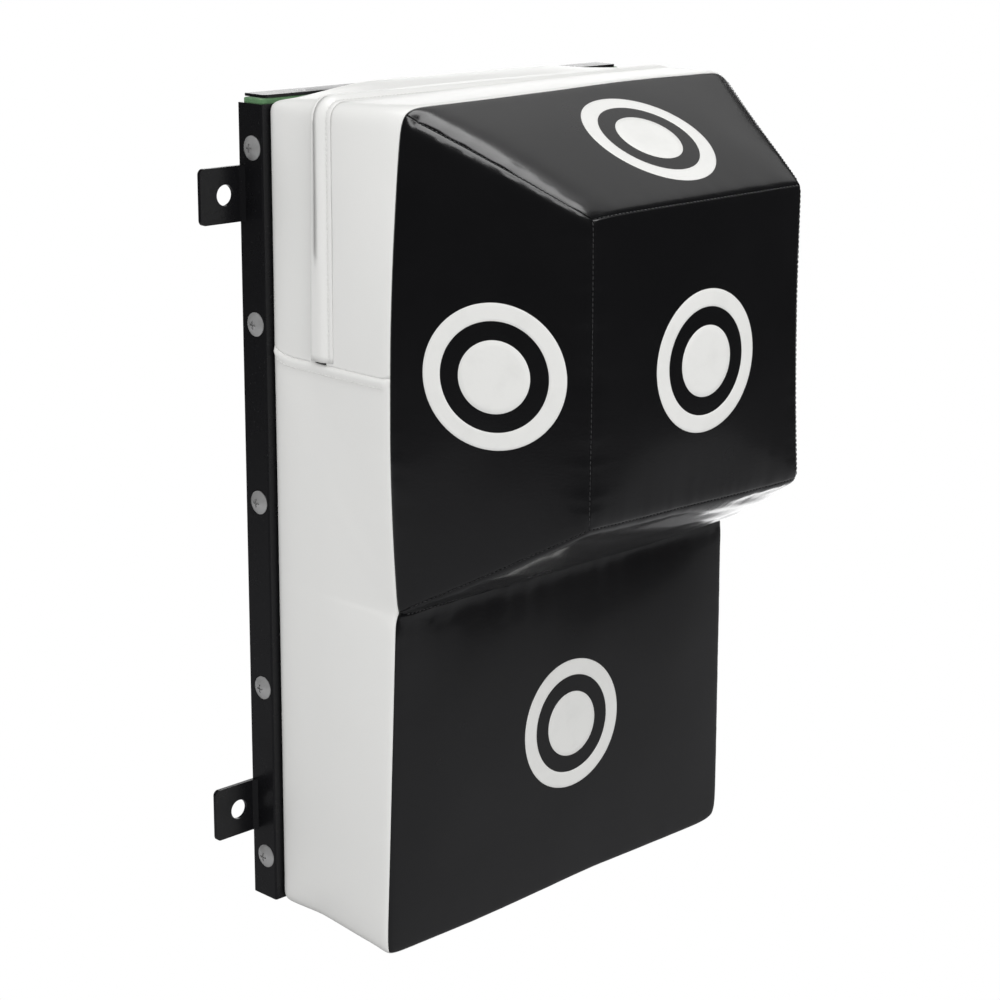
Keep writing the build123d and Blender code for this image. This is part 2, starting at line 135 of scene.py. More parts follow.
def outline_stops(near, far):
    """Fractions across the pad, up to its waist, and from the waist to its top."""
    return graded(2 * HALF, near, far), graded(WAIST, near, far), graded(TOP - WAIST, near, far)


def stop_heights(low, high):
    """Heights of the stops below and above the waist, as one run."""
    return np.concatenate([low * WAIST, (WAIST + high * (TOP - WAIST))[1:]])


across, upward_low, upward_high = outline_stops(SEAM_STEP, CLOTH_STEP)
lap_index = int(np.argmin(abs(WAIST + upward_high * (TOP - WAIST) - LAP)))
for offset in (-1, 0, 1):
    upward_high[lap_index + offset] = (LAP + offset * SEAM_STEP - WAIST) / (TOP - WAIST)
side_heights = stop_heights(upward_low, upward_high)


def rounded(x, h, radius_x, half, low, high):
    """Points on the border of a rectangle, moved onto it with rounded corners."""
    t_x = half - abs(x)
    t_h = np.minimum(h - low, high - h)
    on_side = t_x <= t_h
    t = np.where(on_side, t_h, t_x)
    turn = np.where(t < radius_x, (1 - t / radius_x) * math.pi / 4, 0.0)
    far, near = radius_x * np.cos(turn), radius_x * np.sin(turn)
    corner_x = np.sign(x) * (half - radius_x)
    top_half = h > (low + high) / 2
    corner_h = np.where(top_half, high - radius_x, low + radius_x)
    way = np.where(top_half, 1.0, -1.0)
    bend = t < radius_x
    new_x = np.where(bend, corner_x + np.sign(x) * np.where(on_side, far, near), x)
    new_h = np.where(bend, corner_h + way * np.where(on_side, near, far), h)
    return new_x, new_h


# The seam between white and black, for the left (-1) and right (1) side: half width at the foot, how much it
# pulls in up to the waist, half width where the head is widest, and how it rounds away from there.
SEAM_FOOT = {-1: 181.0, 1: 188.5}
SEAM_TAPER = {-1: 10.0, 1: 3.2}
SEAM_WIDEST = {-1: 176.3, 1: 185.5}
SEAM_ROUNDING = {-1: 3.04e-4, 1: 3.0e-4}
WIDEST_HEIGHT = 400.0


def front_edge(side, h):
    """Half width of the seam between white and black, which pulls in at the waist and towards the top."""
    low = SEAM_FOOT[side] - SEAM_TAPER[side] * h / WAIST
    above = h - WIDEST_HEIGHT
    if side > 0:
        above = np.maximum(above, 0)
    high = SEAM_WIDEST[side] - SEAM_ROUNDING[side] * above**2
    return np.where(h < WAIST, low, high)


def forward_share(d, start=LIP_FRONT, end=FRONT):
    """How far a depth lies from one depth to another, from 0 to 1."""
    return np.clip((d - start) / (end - start), 0, 1)


LAP_EASE = 30.0


def side_pull(side, h, d):
    """How far the pad's side lies inside the frame's outline."""
    full = HALF - front_edge(side, h)
    upper = smooth((h - LAP + LAP_EASE) / LAP_EASE)
    return full * (forward_share(d) ** 1.8 * (1 - upper) + forward_share(d, ZIP_FRONT) ** 1.6 * upper)


# The crown is level out to CROWN_HALF and drops over CORNER_REACH. The others name a reach along x as well.
CROWN, CROWN_HALF, CORNER_DROP, CORNER_REACH = 4.0, 80.0, 10.0, 105.0
FRONT_RISE, RISE_REACH = 4.6, 280.0
REAR_SAG, FRONT_SAG, LEFT_SAG, SAG_START, SAG_REACH = -1.4, -5.5, -4.7, 50.0, 170.0
LAP_PUSH, LAP_PUSH_DEPTH, LAP_PUSH_HEIGHT = 12.0, 10.0, 60.0


def top_rise(x, d):
    """Crown of the top near the wall, which drops at the two corners, and its rise towards the front."""
    crown = CROWN - CORNER_DROP * smooth((abs(x) - CROWN_HALF) / CORNER_REACH)
    front = FRONT_RISE * smooth((x + HALF) / RISE_REACH)
    return crown * (1 - forward_share(d, end=ZIP_REAR)) ** 1.3 + front * forward_share(d)


def bottom_sag(x, d):
    """The bottom hangs a little, most at the front of its left end."""
    front = FRONT_SAG + LEFT_SAG * smooth((SAG_START - x) / SAG_REACH)
    return REAR_SAG + (front - REAR_SAG) * forward_share(d) ** 1.2


def settle(x, h, d):
    """Moves points of the nominal outline to where the stuffed pad has them."""
    a = (x + HALF) / (2 * HALF)
    b = np.clip(h / TOP, 0, 1)
    new_x = x + (1 - a) * side_pull(-1, h, d) - a * side_pull(1, h, d)
    new_h = h + b * top_rise(x, d) + (1 - b) * bottom_sag(x, d)
    # The frame's edge pushes the cover up where the lap meets it.
    behind = np.maximum(d - LIP_FRONT, 0) / LAP_PUSH_DEPTH
    return new_x, new_h + LAP_PUSH * np.exp(-behind - ((h - LAP) / LAP_PUSH_HEIGHT) ** 2)


def edge_line(side, grow, depth, inset=0.0, stops=(across, side_heights)):
    """One side of the pad's outline at a depth: left and right run upwards, top and bottom to the right."""
    half, low, high = HALF + grow, -grow, TOP + grow
    if side in ("left", "right"):
        h = low + stops[1] / TOP * (high - low)
        x = np.full_like(h, -half if side == "left" else half)
    else:
        x = -half + stops[0] * 2 * half
        h = np.full_like(x, low if side == "bottom" else high)
    widening = smooth((depth - ROUNDING_START) / (ZIP_REAR - ROUNDING_START))
    top_radius = REAR_TOP_RADIUS + (TOP_RADIUS - REAR_TOP_RADIUS) * widening
    bottom_radius = np.where(x < 0, BOTTOM_RADIUS[-1], BOTTOM_RADIUS[1])
    radius = np.where(h > TOP / 2, top_radius, bottom_radius) + grow
    x, h = rounded(x, h, np.maximum(radius, 1.0), half, low, high)
    x, h = settle(x, h, depth)
    if inset:
        x = x * (1 - inset / HALF)
        h = h + inset * (1 - 2 * h / TOP)
    return np.stack([x, np.full_like(x, depth), h], -1)


def coons(bottom, top, left, right):
    """Surface between four lines. Bottom and top run along u, left and right along v."""
    u = np.concatenate([[0], np.cumsum(np.linalg.norm(np.diff(bottom, axis=0), axis=1))])
    v = np.concatenate([[0], np.cumsum(np.linalg.norm(np.diff(left, axis=0), axis=1))])
    u, v = (u / u[-1])[None, :, None], (v / v[-1])[:, None, None]
    lines = (1 - v) * bottom[None] + v * top[None] + (1 - u) * left[:, None] + u * right[:, None]
    low_corners = (1 - u) * bottom[0] + u * bottom[-1]
    high_corners = (1 - u) * top[0] + u * top[-1]
    return lines - (1 - v) * low_corners - v * high_corners


def bowed(a, b, t, bow=(0, 0, 0)):
    """Line from a to b at fractions t, bowed by that much in the middle."""
    t = np.asarray(t)[:, None]
    return (1 - t) * np.asarray(a) + t * np.asarray(b) + 4 * t * (1 - t) * np.asarray(bow)


SLACK, RIDGE_LENGTH = 6.0, 145.0


def hanging(grid):
    """Lets the underside of the head sag below its seams, most near the lower panel."""
    v = np.linspace(0, 1, grid.shape[0])[:, None]
    u = np.linspace(0, 1, grid.shape[1])[None, :]
    sag = SLACK * np.sin(math.pi * v**0.8) * np.sin(math.pi * u) ** 0.5
    return grid + sag[..., None] * np.array([0.0, 0.35, -0.94])


# ------------------------------------------------------------------ the cushion as one closed surface
PANELS = (
    "cover_back_panel",
    "lower_side_band",
    "upper_rear_band",
    "zip_opening",
    "upper_front_band",
    "lower_front_panel",
    "head_left_panel",
    "head_front_panel",
    "head_top_panel",
    "head_right_panel",
    "head_underside_panel",
)
number = {name: index for index, name in enumerate(PANELS)}
WHITE = {number[n] for n in ("lower_side_band", "upper_rear_band", "zip_opening", "upper_front_band")}

SHOULDER, SHOULDER_DEPTH = 1.8, 30.6
side_length = ZIP_REAR - SHOULDER_DEPTH
side_share = graded(side_length, SEAM_STEP, CLOTH_STEP)[1:]
gap_depths = np.linspace(ZIP_REAR, ZIP_FRONT, 5)[1:]
front_depths = ZIP_FRONT + graded(FRONT - ZIP_FRONT, SEAM_STEP, CLOTH_STEP)[1:] * (FRONT - ZIP_FRONT)
# Rings of the cover from the wall forwards, as (growth past the outline, depth).
rings = [(-NECK_INSET, REAR), (-NECK_INSET, 24.6), (-3.2, 25.6), (-0.8, 26.0), (1.0, 27.4)]
rings.append((SHOULDER, SHOULDER_DEPTH))
rings += [(SHOULDER * float(1 - smooth(t)), SHOULDER_DEPTH + t * side_length) for t in side_share]
rings += [(0.0, d) for d in (*gap_depths, *front_depths)]

SIDES = ("left", "right", "top", "bottom")
# The head block's corners: how far they stand from the middle, and their heights.
head = {
    "top_left": (-108.6, FACE, 540.3),
    "top_right": (110.2, FACE, 542.2),
    "bottom_left": (-107.8, FACE, 325.6),
    "bottom_right": (119.4, FACE, 321.3),
}


def cushion_patches():
    """(points, panel number) for every patch of the cover."""
    patches = []
    edges = {side: [edge_line(side, grow, d) for grow, d in rings] for side in SIDES}
    for side, lines in edges.items():
        grid = np.stack(lines)
        for row in range(len(lines) - 1):
            middle = (rings[row][1] + rings[row + 1][1]) / 2
            for column in range(grid.shape[1] - 1):
                if side == "bottom" or (side != "top" and side_heights[column + 1] <= LAP + 0.01):
                    label = number["lower_side_band"]
                elif middle < ZIP_REAR:
                    label = number["upper_rear_band"]
                elif middle < ZIP_FRONT:
                    label = number["zip_opening"]
                else:
                    label = number["upper_front_band"]
                patches.append((grid[row : row + 2, column : column + 2], label))
    back = {side: lines[0] for side, lines in edges.items()}
    back_grid = coons(back["bottom"], back["top"], back["left"], back["right"])
    patches.append((back_grid, number["cover_back_panel"]))

    root = {side: lines[-1] for side, lines in edges.items()}
    waist = len(upward_low) - 1
    left_low, left_high = root["left"][: waist + 1], root["left"][waist:]
    right_low, right_high = root["right"][: waist + 1], root["right"][waist:]
    foot_line = bowed(left_high[0], right_high[0], across, (0, -2.0, 0))
    patches.append((coons(root["bottom"], foot_line, left_low, right_low), number["lower_front_panel"]))

    corner = {name: np.array(place) for name, place in head.items()}
    slope = graded(RIDGE_LENGTH, SEAM_STEP, CLOTH_STEP)
    face_top = bowed(corner["top_left"], corner["top_right"], across)
    face_bottom = bowed(corner["bottom_left"], corner["bottom_right"], across)
    face_left = bowed(corner["bottom_left"], corner["top_left"], upward_high, (1.0, 0, 0))
    face_right = bowed(corner["bottom_right"], corner["top_right"], upward_high, (-4.0, 0, 0))
    ridge = {
        "top_left": bowed(root["top"][0], corner["top_left"], slope, (-1.1, 0, 1.6)),
        "top_right": bowed(root["top"][-1], corner["top_right"], slope),
        "bottom_left": bowed(left_high[0], corner["bottom_left"], slope),
        "bottom_right": bowed(right_high[0], corner["bottom_right"], slope),
    }
    underside = coons(foot_line, face_bottom, ridge["bottom_left"], ridge["bottom_right"])
    sheets = {
        "front": coons(face_bottom, face_top, face_left, face_right),
        "left": coons(ridge["bottom_left"], ridge["top_left"], left_high, face_left),
        "right": coons(ridge["bottom_right"], ridge["top_right"], right_high, face_right),
        "top": coons(root["top"], face_top, ridge["top_left"], ridge["top_right"]),
        "underside": hanging(underside),
    }
    return patches + [(grid, number[f"head_{place}_panel"]) for place, grid in sheets.items()]


def join_patches(patches):
    """Welds patches into one surface: points, four-cornered faces and each face's panel."""
    points, faces, labels = [], [], []
    start = 0
    for grid, label in patches:
        rows, columns = grid.shape[:2]
        points.append(grid.reshape(-1, 3))
        index = start + np.arange(rows * columns).reshape(rows, columns)
        quads = np.stack([index[:-1, :-1], index[:-1, 1:], index[1:, 1:], index[1:, :-1]], -1).reshape(-1, 4)
        faces.append(quads)
        labels.append(np.full(len(quads), label))
        start += rows * columns
    points, faces, labels = np.concatenate(points), np.concatenate(faces), np.concatenate(labels)
    keys = np.round(points * 100).astype(np.int64)
    _, first, back = np.unique(keys, axis=0, return_index=True, return_inverse=True)
    faces = back.reshape(-1)[faces]
    return points[first], faces, labels


def link(name, data):
    obj = bpy.data.objects.new(name, data)
    bpy.context.scene.collection.objects.link(obj)
    return obj


def solid(name, verts, polys, labels=None):
    """Mesh object from points in metres, with its faces turned outwards."""
    mesh = bpy.data.meshes.new(name)
    mesh.from_pydata([tuple(v) for v in verts], [], polys)
    if labels is not None:
        mesh.polygons.foreach_set("material_index", np.asarray(labels, np.int32))
    bm = bmesh.new()
    bm.from_mesh(mesh)
    bmesh.ops.recalc_face_normals(bm, faces=bm.faces)
    bm.to_mesh(mesh)
    bm.free()
    return link(name, mesh)


def new_object(name, points, faces, labels=None):
    """Mesh object from pad coordinates."""
    return solid(name, world(points), [tuple(int(i) for i in f) for f in faces], labels)


def smooth_faces(mesh):
    mesh.polygons.foreach_set("use_smooth", np.ones(len(mesh.polygons), bool))


def applied_mesh(obj):
    """The object's mesh with its modifiers applied, as a mesh of its own."""
    return bpy.data.meshes.new_from_object(obj.evaluated_get(bpy.context.evaluated_depsgraph_get()))


def read_mesh(mesh):
    """Points in pad coordinates, faces and labels of a four-cornered mesh."""
    points = np.zeros(len(mesh.vertices) * 3)
    mesh.vertices.foreach_get("co", points)
    faces = np.zeros(len(mesh.loops), np.int32)
    mesh.loops.foreach_get("vertex_index", faces)
    labels = np.zeros(len(mesh.polygons), np.int32)
    mesh.polygons.foreach_get("material_index", labels)
    return pad_coords(points.reshape(-1, 3)), faces.reshape(-1, 4), labels


def remove_object(obj):
    mesh = obj.data
    bpy.data.objects.remove(obj)
    bpy.data.meshes.remove(mesh)


def edge_table(faces, labels):
    """Every edge once, with the panels of its two faces."""
    pairs = np.concatenate([faces[:, [i, (i + 1) % 4]] for i in range(4)])
    panel = np.tile(labels, 4)
    pairs = np.sort(pairs, axis=1)
    order = np.lexsort((pairs[:, 1], pairs[:, 0]))
    pairs, panel = pairs[order], panel[order]
    return pairs[::2], np.sort(np.stack([panel[::2], panel[1::2]], -1), axis=1)


def seam_edges(faces, labels, wanted=None):
    """Edges between two panels, or only those whose pair of panels is wanted."""
    edges, panels = edge_table(faces, labels)
    apart = panels[:, 0] != panels[:, 1]
    if wanted is not None:
        apart &= np.array([wanted(a, b) for a, b in panels])
    return edges[apart]


base_points, base_faces, base_labels = join_patches(cushion_patches())

# ------------------------------------------------------------------ the cover swells over its foam
PRESSURE, FRAMES, MOST_SWELL, WHITE_SWELL = 4.0, 20, 6.0, 0.4


def swell(points, faces, labels):
    """Cloth simulation of the cover, held at its seams and at the frame."""
    obj = new_object("swelling_cover", points, faces, labels)
    held = np.zeros(len(points), bool)
    held[np.unique(seam_edges(faces, labels))] = True
    held[np.unique(faces[labels == number["zip_opening"]])] = True
    held[np.unique(faces[labels == number["cover_back_panel"]])] = True
    held |= points[:, 1] < LIP_FRONT + 1.5
    group = obj.vertex_groups.new(name="held")
    group.add([int(i) for i in np.flatnonzero(held)], 1.0, "REPLACE")
    cloth = obj.modifiers.new("Cover", "CLOTH")
    cloth.settings.quality = 5
    cloth.settings.mass = 0.3
    cloth.settings.use_pressure = True
    cloth.settings.uniform_pressure_force = PRESSURE
    cloth.settings.vertex_group_mass = "held"
    cloth.settings.effector_weights.gravity = 0
    cloth.collision_settings.use_collision = False
    scene = bpy.context.scene
    for step in range(1, FRAMES + 1):
        scene.frame_set(step)
    evaluated = obj.evaluated_get(bpy.context.evaluated_depsgraph_get())
    swollen = np.zeros(len(points) * 3)
    evaluated.data.vertices.foreach_get("co", swollen)
    swollen = pad_coords(swollen.reshape(-1, 3))
    scene.frame_set(1)
    remove_object(obj)
    moved = swollen - points
    length = np.linalg.norm(moved, axis=1, keepdims=True)
    share = np.ones((len(points), 1))
    share[np.unique(faces[np.isin(labels, list(WHITE))])] = WHITE_SWELL
    return points + moved * share * np.minimum(1, MOST_SWELL / np.maximum(length, 1e-9))


full_points = swell(base_points, base_faces, base_labels)

# ------------------------------------------------------------------ seams, puckers and soft edges
def subdivide(name, points, faces, labels=None):
    """The surface with every face divided in four and its corners eased."""
    obj = new_object(name, points, faces, labels)
    obj.modifiers.new("Subdivide", "SUBSURF").levels = 1
    mesh = applied_mesh(obj)
    result = read_mesh(mesh)
    bpy.data.meshes.remove(mesh)
    remove_object(obj)
    return result


def vertex_normals(points, faces):
    """Outward direction at every point of a four-cornered mesh."""
    a, b, c, d = (points[faces[:, i]] for i in range(4))
    face = np.cross(c - a, d - b)
    total = np.zeros_like(points)
    for i in range(4):
        for axis in range(3):
            total[:, axis] += np.bincount(faces[:, i], face[:, axis], len(points))
    # The mirrored d axis turns the winding round, so the sign is flipped.
    return -total / np.maximum(np.linalg.norm(total, axis=1, keepdims=True), 1e-9)


def relax(points, faces, share, rounds):
    """Evens out points towards their neighbours, by each point's share."""
    pairs = np.concatenate([faces[:, [i, (i + 1) % 4]] for i in range(4)])
    edges = np.unique(np.sort(pairs, axis=1), axis=0)
    ends = np.concatenate([edges, edges[:, ::-1]])
    count = np.bincount(ends[:, 0], minlength=len(points))[:, None]
    points = points.copy()
    for _ in range(rounds):
        total = np.stack([np.bincount(ends[:, 0], points[ends[:, 1], k], len(points)) for k in range(3)], -1)
        points += share[:, None] * (total / count - points)
    return points


def nearest_seam(points, seam_points):
    """Distance to the nearest seam point, and which one it is."""
    tree = KDTree(len(seam_points))
    for index, p in enumerate(seam_points):
        tree.insert(p, index)
    tree.balance()
    found = [tree.find(p) for p in points]
    return np.array([f[2] for f in found]), np.array([f[1] for f in found])


def ripple(points, size, seed):
    """Smooth noise from -1 to 1 at points, with waves of that size in millimetres."""
    shift = Vector((seed * 17.3, seed * 5.1, seed * 9.7))
    return np.array([noise.noise(Vector(p) / size + shift) for p in points])


# Each seam's pair of panels, depth of its valley, height of its puckers and how far they reach.
HEAD = {number[n] for n in PANELS if n.startswith("head_")}
LOWER = number["lower_front_panel"]
TOP_LEFT = {number["head_top_panel"], number["head_left_panel"]}
UNDERSIDE = number["head_underside_panel"]
SEAMS = {
    "top_left_ridge": (lambda a, b: {a, b} == TOP_LEFT, 0.5, 1.0, 11.0),
    "other_ridges": (lambda a, b: {a, b} <= HEAD - {UNDERSIDE} and {a, b} != TOP_LEFT, 0.35, 0.35, 9.0),
    "underside_ridges": (lambda a, b: {a, b} <= HEAD and UNDERSIDE in (a, b), 1.0, 0.5, 15.0),
    "foot_of_head": (lambda a, b: {a, b} == {LOWER, UNDERSIDE}, 1.2, 1.0, 14.0),
    "white_to_black": (lambda a, b: (a in WHITE) != (b in WHITE) and a != 0, 0.4, 0.3, 8.0),
}
# How deep and how far the stuffed top panel rolls over to its left ridge, and the left panel with it.
PILLOW, TOP_ROLL, LEFT_ROLL = 2.2, 14.0, 6.0
# Share and reach, in millimetres, of the evening out beside black seams and beside white ones.
SOFT_SHARE, SOFT_REACH, FIRM_SHARE, FIRM_REACH, RELAX_ROUNDS = 0.62, 9.0, 0.3, 4.0, 44
points, faces, labels = subdivide("fine_cover", full_points, base_faces, base_labels)


def on_panel(*names):
    """Which points of the fine cover belong to any of these panels."""
    wanted = [number[n] for n in names]
    return np.isin(np.arange(len(points)), np.unique(faces[np.isin(labels, wanted)]))


black_edges = np.unique(seam_edges(faces, labels, lambda a, b: {a, b} <= HEAD | {LOWER}))
white_edges = np.unique(seam_edges(faces, labels, lambda a, b: len({a, b} & (HEAD | {LOWER})) == 1))
soft = np.exp(-((nearest_seam(points, points[black_edges])[0] / SOFT_REACH) ** 2))
firm = np.exp(-((nearest_seam(points, points[white_edges])[0] / FIRM_REACH) ** 2))
points = relax(points, faces, np.maximum(SOFT_SHARE * soft, FIRM_SHARE * firm), RELAX_ROUNDS)
normals = vertex_normals(points, faces)
shift = np.zeros(len(points))
for seed, (name, (wanted, valley, height, extent)) in enumerate(SEAMS.items()):
    line = np.unique(seam_edges(faces, labels, wanted))
    far, index = nearest_seam(points, points[line])
    wave = ripple(points[line], 15.0, seed + 1) + 0.6 * ripple(points[line], 6.5, seed + 11)
    change = height * wave[index] * np.exp(-far / extent) * (1 - np.exp(-far / 2.0))
    change -= valley * (0.75 * np.exp(-((far / 1.2) ** 2)) + 0.45 * np.exp(-((far / 4.5) ** 2)))
    if name == "top_left_ridge":
        roll = np.where(on_panel("head_top_panel"), TOP_ROLL, LEFT_ROLL)
        change -= PILLOW * np.exp(-((far / roll) ** 2))
    if name.endswith(("_ridge", "_ridges")):
        # The head's ridges fade out where they run into the white band.
        change *= smooth((points[:, 1] - FRONT + 1) / 12)
    shift += change
black = on_panel(*(n for n in PANELS[1:] if number[n] not in WHITE))
shift += np.where(black, 0.5, 0.3) * ripple(points, 62.0, 5) * smooth(points[:, 1] / 40 - 0.8)
slack = on_panel("head_underside_panel")
# The slack underside folds along lines that run mostly from side to side.
folds = ripple(points * np.array([0.22, 1.0, 1.0]) + np.array([0.0, 0.25, 0.0]) * points[:, :1], 17.0, 8)
FOLD_HEIGHT, FOLD_MARGIN = 1.7, 14.0
inside = smooth(nearest_seam(points, points[black_edges])[0] / FOLD_MARGIN)
shift += np.where(slack, FOLD_HEIGHT * folds * inside, 0.0)
shift[on_panel("zip_opening")] = 0.0
points = points + normals * shift[:, None]
normals = vertex_normals(points, faces)

# ------------------------------------------------------------------ panels cut from the cover
def shell(name, faces, outer, inner):
    """Closed sheet between two sets of points that share their faces."""
    used, compact = np.unique(faces, return_inverse=True)
    outer_faces = compact.reshape(faces.shape)
    count = len(used)
    pairs = np.concatenate([outer_faces[:, [i, (i + 1) % 4]] for i in range(4)])
    keys = np.sort(pairs, axis=1)
    _, first, times = np.unique(keys, axis=0, return_index=True, return_counts=True)
    rim = pairs[first[times == 1]]
    rim_faces = np.stack([rim[:, 1], rim[:, 0], rim[:, 0] + count, rim[:, 1] + count], -1)
    all_faces = np.concatenate([outer_faces, outer_faces[:, ::-1] + count, rim_faces])
    obj = new_object(name, np.concatenate([outer[used], inner[used]]), all_faces)
    # The cut edge is left unsmoothed, so that it doesn't darken the panel beside it.
    obj.data.polygons.foreach_set("use_smooth", np.arange(len(all_faces)) < 2 * len(outer_faces))
    return obj


LAP_WIDTH, LAP_STEP, LAP_EDGE, STITCH_DROP, STITCH_SINK = 10.0, 1.3, 2.6, 7.0, 0.7
SIDE_BAND = number["lower_side_band"]
lap_line = points[np.unique(seam_edges(faces, labels, lambda a, b: {a, b} <= WHITE and SIDE_BAND in (a, b)))]


def lap_height(x, d):
    """Height of the lap at depths on the left or right side, whichever x is on."""
    heights = []
    for side in (-1, 1):
        line = lap_line[np.sign(lap_line[:, 0]) == side]
        order = np.argsort(line[:, 1])
        heights.append(np.interp(d, line[order, 1], line[order, 2]))
    return np.where(np.asarray(x) < 0, heights[0], heights[1])


def panel(name):
    """One sewn panel of the cover, with the lap's step and stitch groove on the lower side band."""
    part = faces[labels == number[name]]
    outer = points.copy()
    if name == "lower_side_band":
        below = lap_height(outer[:, 0], outer[:, 1]) - outer[:, 2]
        lift = LAP_STEP * smooth((LAP_WIDTH - below) / 4.0) * (1 - np.exp(-((below / 1.2) ** 2)))
        lift -= STITCH_SINK * np.exp(-(((below - STITCH_DROP) / 1.3) ** 2))
        lift += 0.5 * np.exp(-(((below - LAP_EDGE) / 1.5) ** 2))
        on_side = abs(outer[:, 0]) > HALF / 2
        lift *= on_side * smooth((FRONT - 1 - outer[:, 1]) / 5) * smooth((outer[:, 1] - 27) / 3)
        outer += normals * lift[:, None]
    inner = outer - normals * COVER
    obj = shell(name.replace("cover_", "") + "_sewn", part, outer, inner)
    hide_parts(name)
    return obj


cover_pieces = {name: panel(name) for name in PANELS if name != "zip_opening"}


def surface_tree(objects):
    """Search tree over the outsides of several meshes, in metres."""
    verts, polys = [], []
    for obj in objects:
        start = len(verts)
        verts += [v.co.copy() for v in obj.data.vertices]
        polys += [[start + i for i in p.vertices] for p in obj.data.polygons]
    return BVHTree.FromPolygons(verts, polys)


cover_tree = surface_tree(cover_pieces.values())


def on_cover(start, direction):
    """Where a line meets the cover from outside, and the cover's normal there, in metres."""
    hit, normal, _, _ = cover_tree.ray_cast(start, direction)
    if hit is None:
        raise ValueError(f"no cover along {tuple(direction)} from {tuple(start)}")
    return hit, normal if normal.dot(direction) < 0 else -normal


# ------------------------------------------------------------------ foam inside the cover
def foam_block(name, patches):
    block_points, block_faces, _ = join_patches(patches)
    obj = new_object(name.replace("_slab", "") + "_block", block_points, block_faces)
    smooth_faces(obj.data)
    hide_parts(name)
    return obj


FOAM_INSET = 3.2
ZIP_GROOVE = 4.6
split = -box_mm("front_foam_slab")[1][1]
foam_parts = outline_stops(FOAM_STEP, FOAM_MOST)
foam_stops = (foam_parts[0], stop_heights(*foam_parts[1:]))


def slab_patches(stations):
    """Closed block whose rim follows the pad's outline. Each station is (inset, depth)."""
    lines = {side: [edge_line(side, 0.0, d, i, foam_stops) for i, d in stations] for side in SIDES}
    patches = [(np.stack(rows), 0) for rows in lines.values()]
    for end in (0, -1):
        rim = {side: rows[end] for side, rows in lines.items()}
        patches.append((coons(rim["bottom"], rim["top"], rim["left"], rim["right"]), 0))
    return patches


neck = NECK_INSET + FOAM_INSET
rear_stations = [(neck + 1.5, REAR + 0.6), (neck, 30.0), (FOAM_INSET, 34.0)]
rear_stations += [(FOAM_INSET, 52.0), (ZIP_GROOVE, 58.0), (ZIP_GROOVE, split - 1.0)]
rear_stations.append((ZIP_GROOVE + 1, split - 0.1))
front_stations = [(ZIP_GROOVE + 1, split + 0.1), (ZIP_GROOVE, split + 1.0)]
front_stations += [(ZIP_GROOVE, 97.0), (FOAM_INSET, 103.0)]
front_stations += [(FOAM_INSET, FRONT - 14), (FOAM_INSET + 3, FRONT - 6.5), (FOAM_INSET + 8, FRONT - 4.2)]
foam_pieces = [
    foam_block("rear_foam_slab", slab_patches(rear_stations)),
    foam_block("front_foam_slab", slab_patches(front_stations)),
]


def head_foam_patches(inset):
    """Four-sided block inside the head, set in a little from the cover."""
    root = FRONT - FOAM_INSET
    corners = {}
    for ring, depth, share in (("root", root, 0.0), ("face", FACE - inset, 1.0)):
        for key in head:
            x, _, h = head[key]
            sx, top = np.sign(x), key.startswith("top")
            base_h = TOP - 10.0 if top else WAIST + 3.5
            base_x = sx * (float(front_edge(sx, base_h)) - 14.0)
            mid_x = base_x * (1 - share) + x * share - sx * inset * 1.35
            mid_h = base_h * (1 - share) + h * share + (-1 if top else 1) * inset * 1.35
            corners[ring, key] = np.array([mid_x, depth, mid_h])
    t = graded(200.0, 6.0, 14.0)
    grids = []
    for ring in ("root", "face"):
        c = {key: corners[ring, key] for key in head}
        grids.append(
            coons(
                bowed(c["bottom_left"], c["bottom_right"], t),
                bowed(c["top_left"], c["top_right"], t),
                bowed(c["bottom_left"], c["top_left"], t),
                bowed(c["bottom_right"], c["top_right"], t),
            )
        )
    flat = (("bottom_left", "bottom_right"), ("top_left", "top_right"))
    upright = (("bottom_left", "top_left"), ("bottom_right", "top_right"))
    for a, b in flat + upright:
        root_line, face_line = (bowed(corners[ring, a], corners[ring, b], t) for ring in ("root", "face"))
        grids.append((1 - t)[:, None, None] * root_line[None] + t[:, None, None] * face_line[None])
    return [(grid, 0) for grid in grids]


foam_pieces.append(foam_block("head_foam", head_foam_patches(3.5)))

# ------------------------------------------------------------------ printed targets
PRINT_TURNS, PRINT_LIFT, PRINT_EDGE, PRINT_ROWS = 96, 0.26, 0.3, 6
RIM_LIFT, UNDER_LIFT, UNDER_DROP = 0.02, 0.005, 0.015


def band_between(a, b):
    """Faces between two rows of points that start at those numbers and go once round."""
    after = [(k + 1) % PRINT_TURNS for k in range(PRINT_TURNS)]
    return [(a + k, a + n, b + n, b + k) for k, n in enumerate(after)]


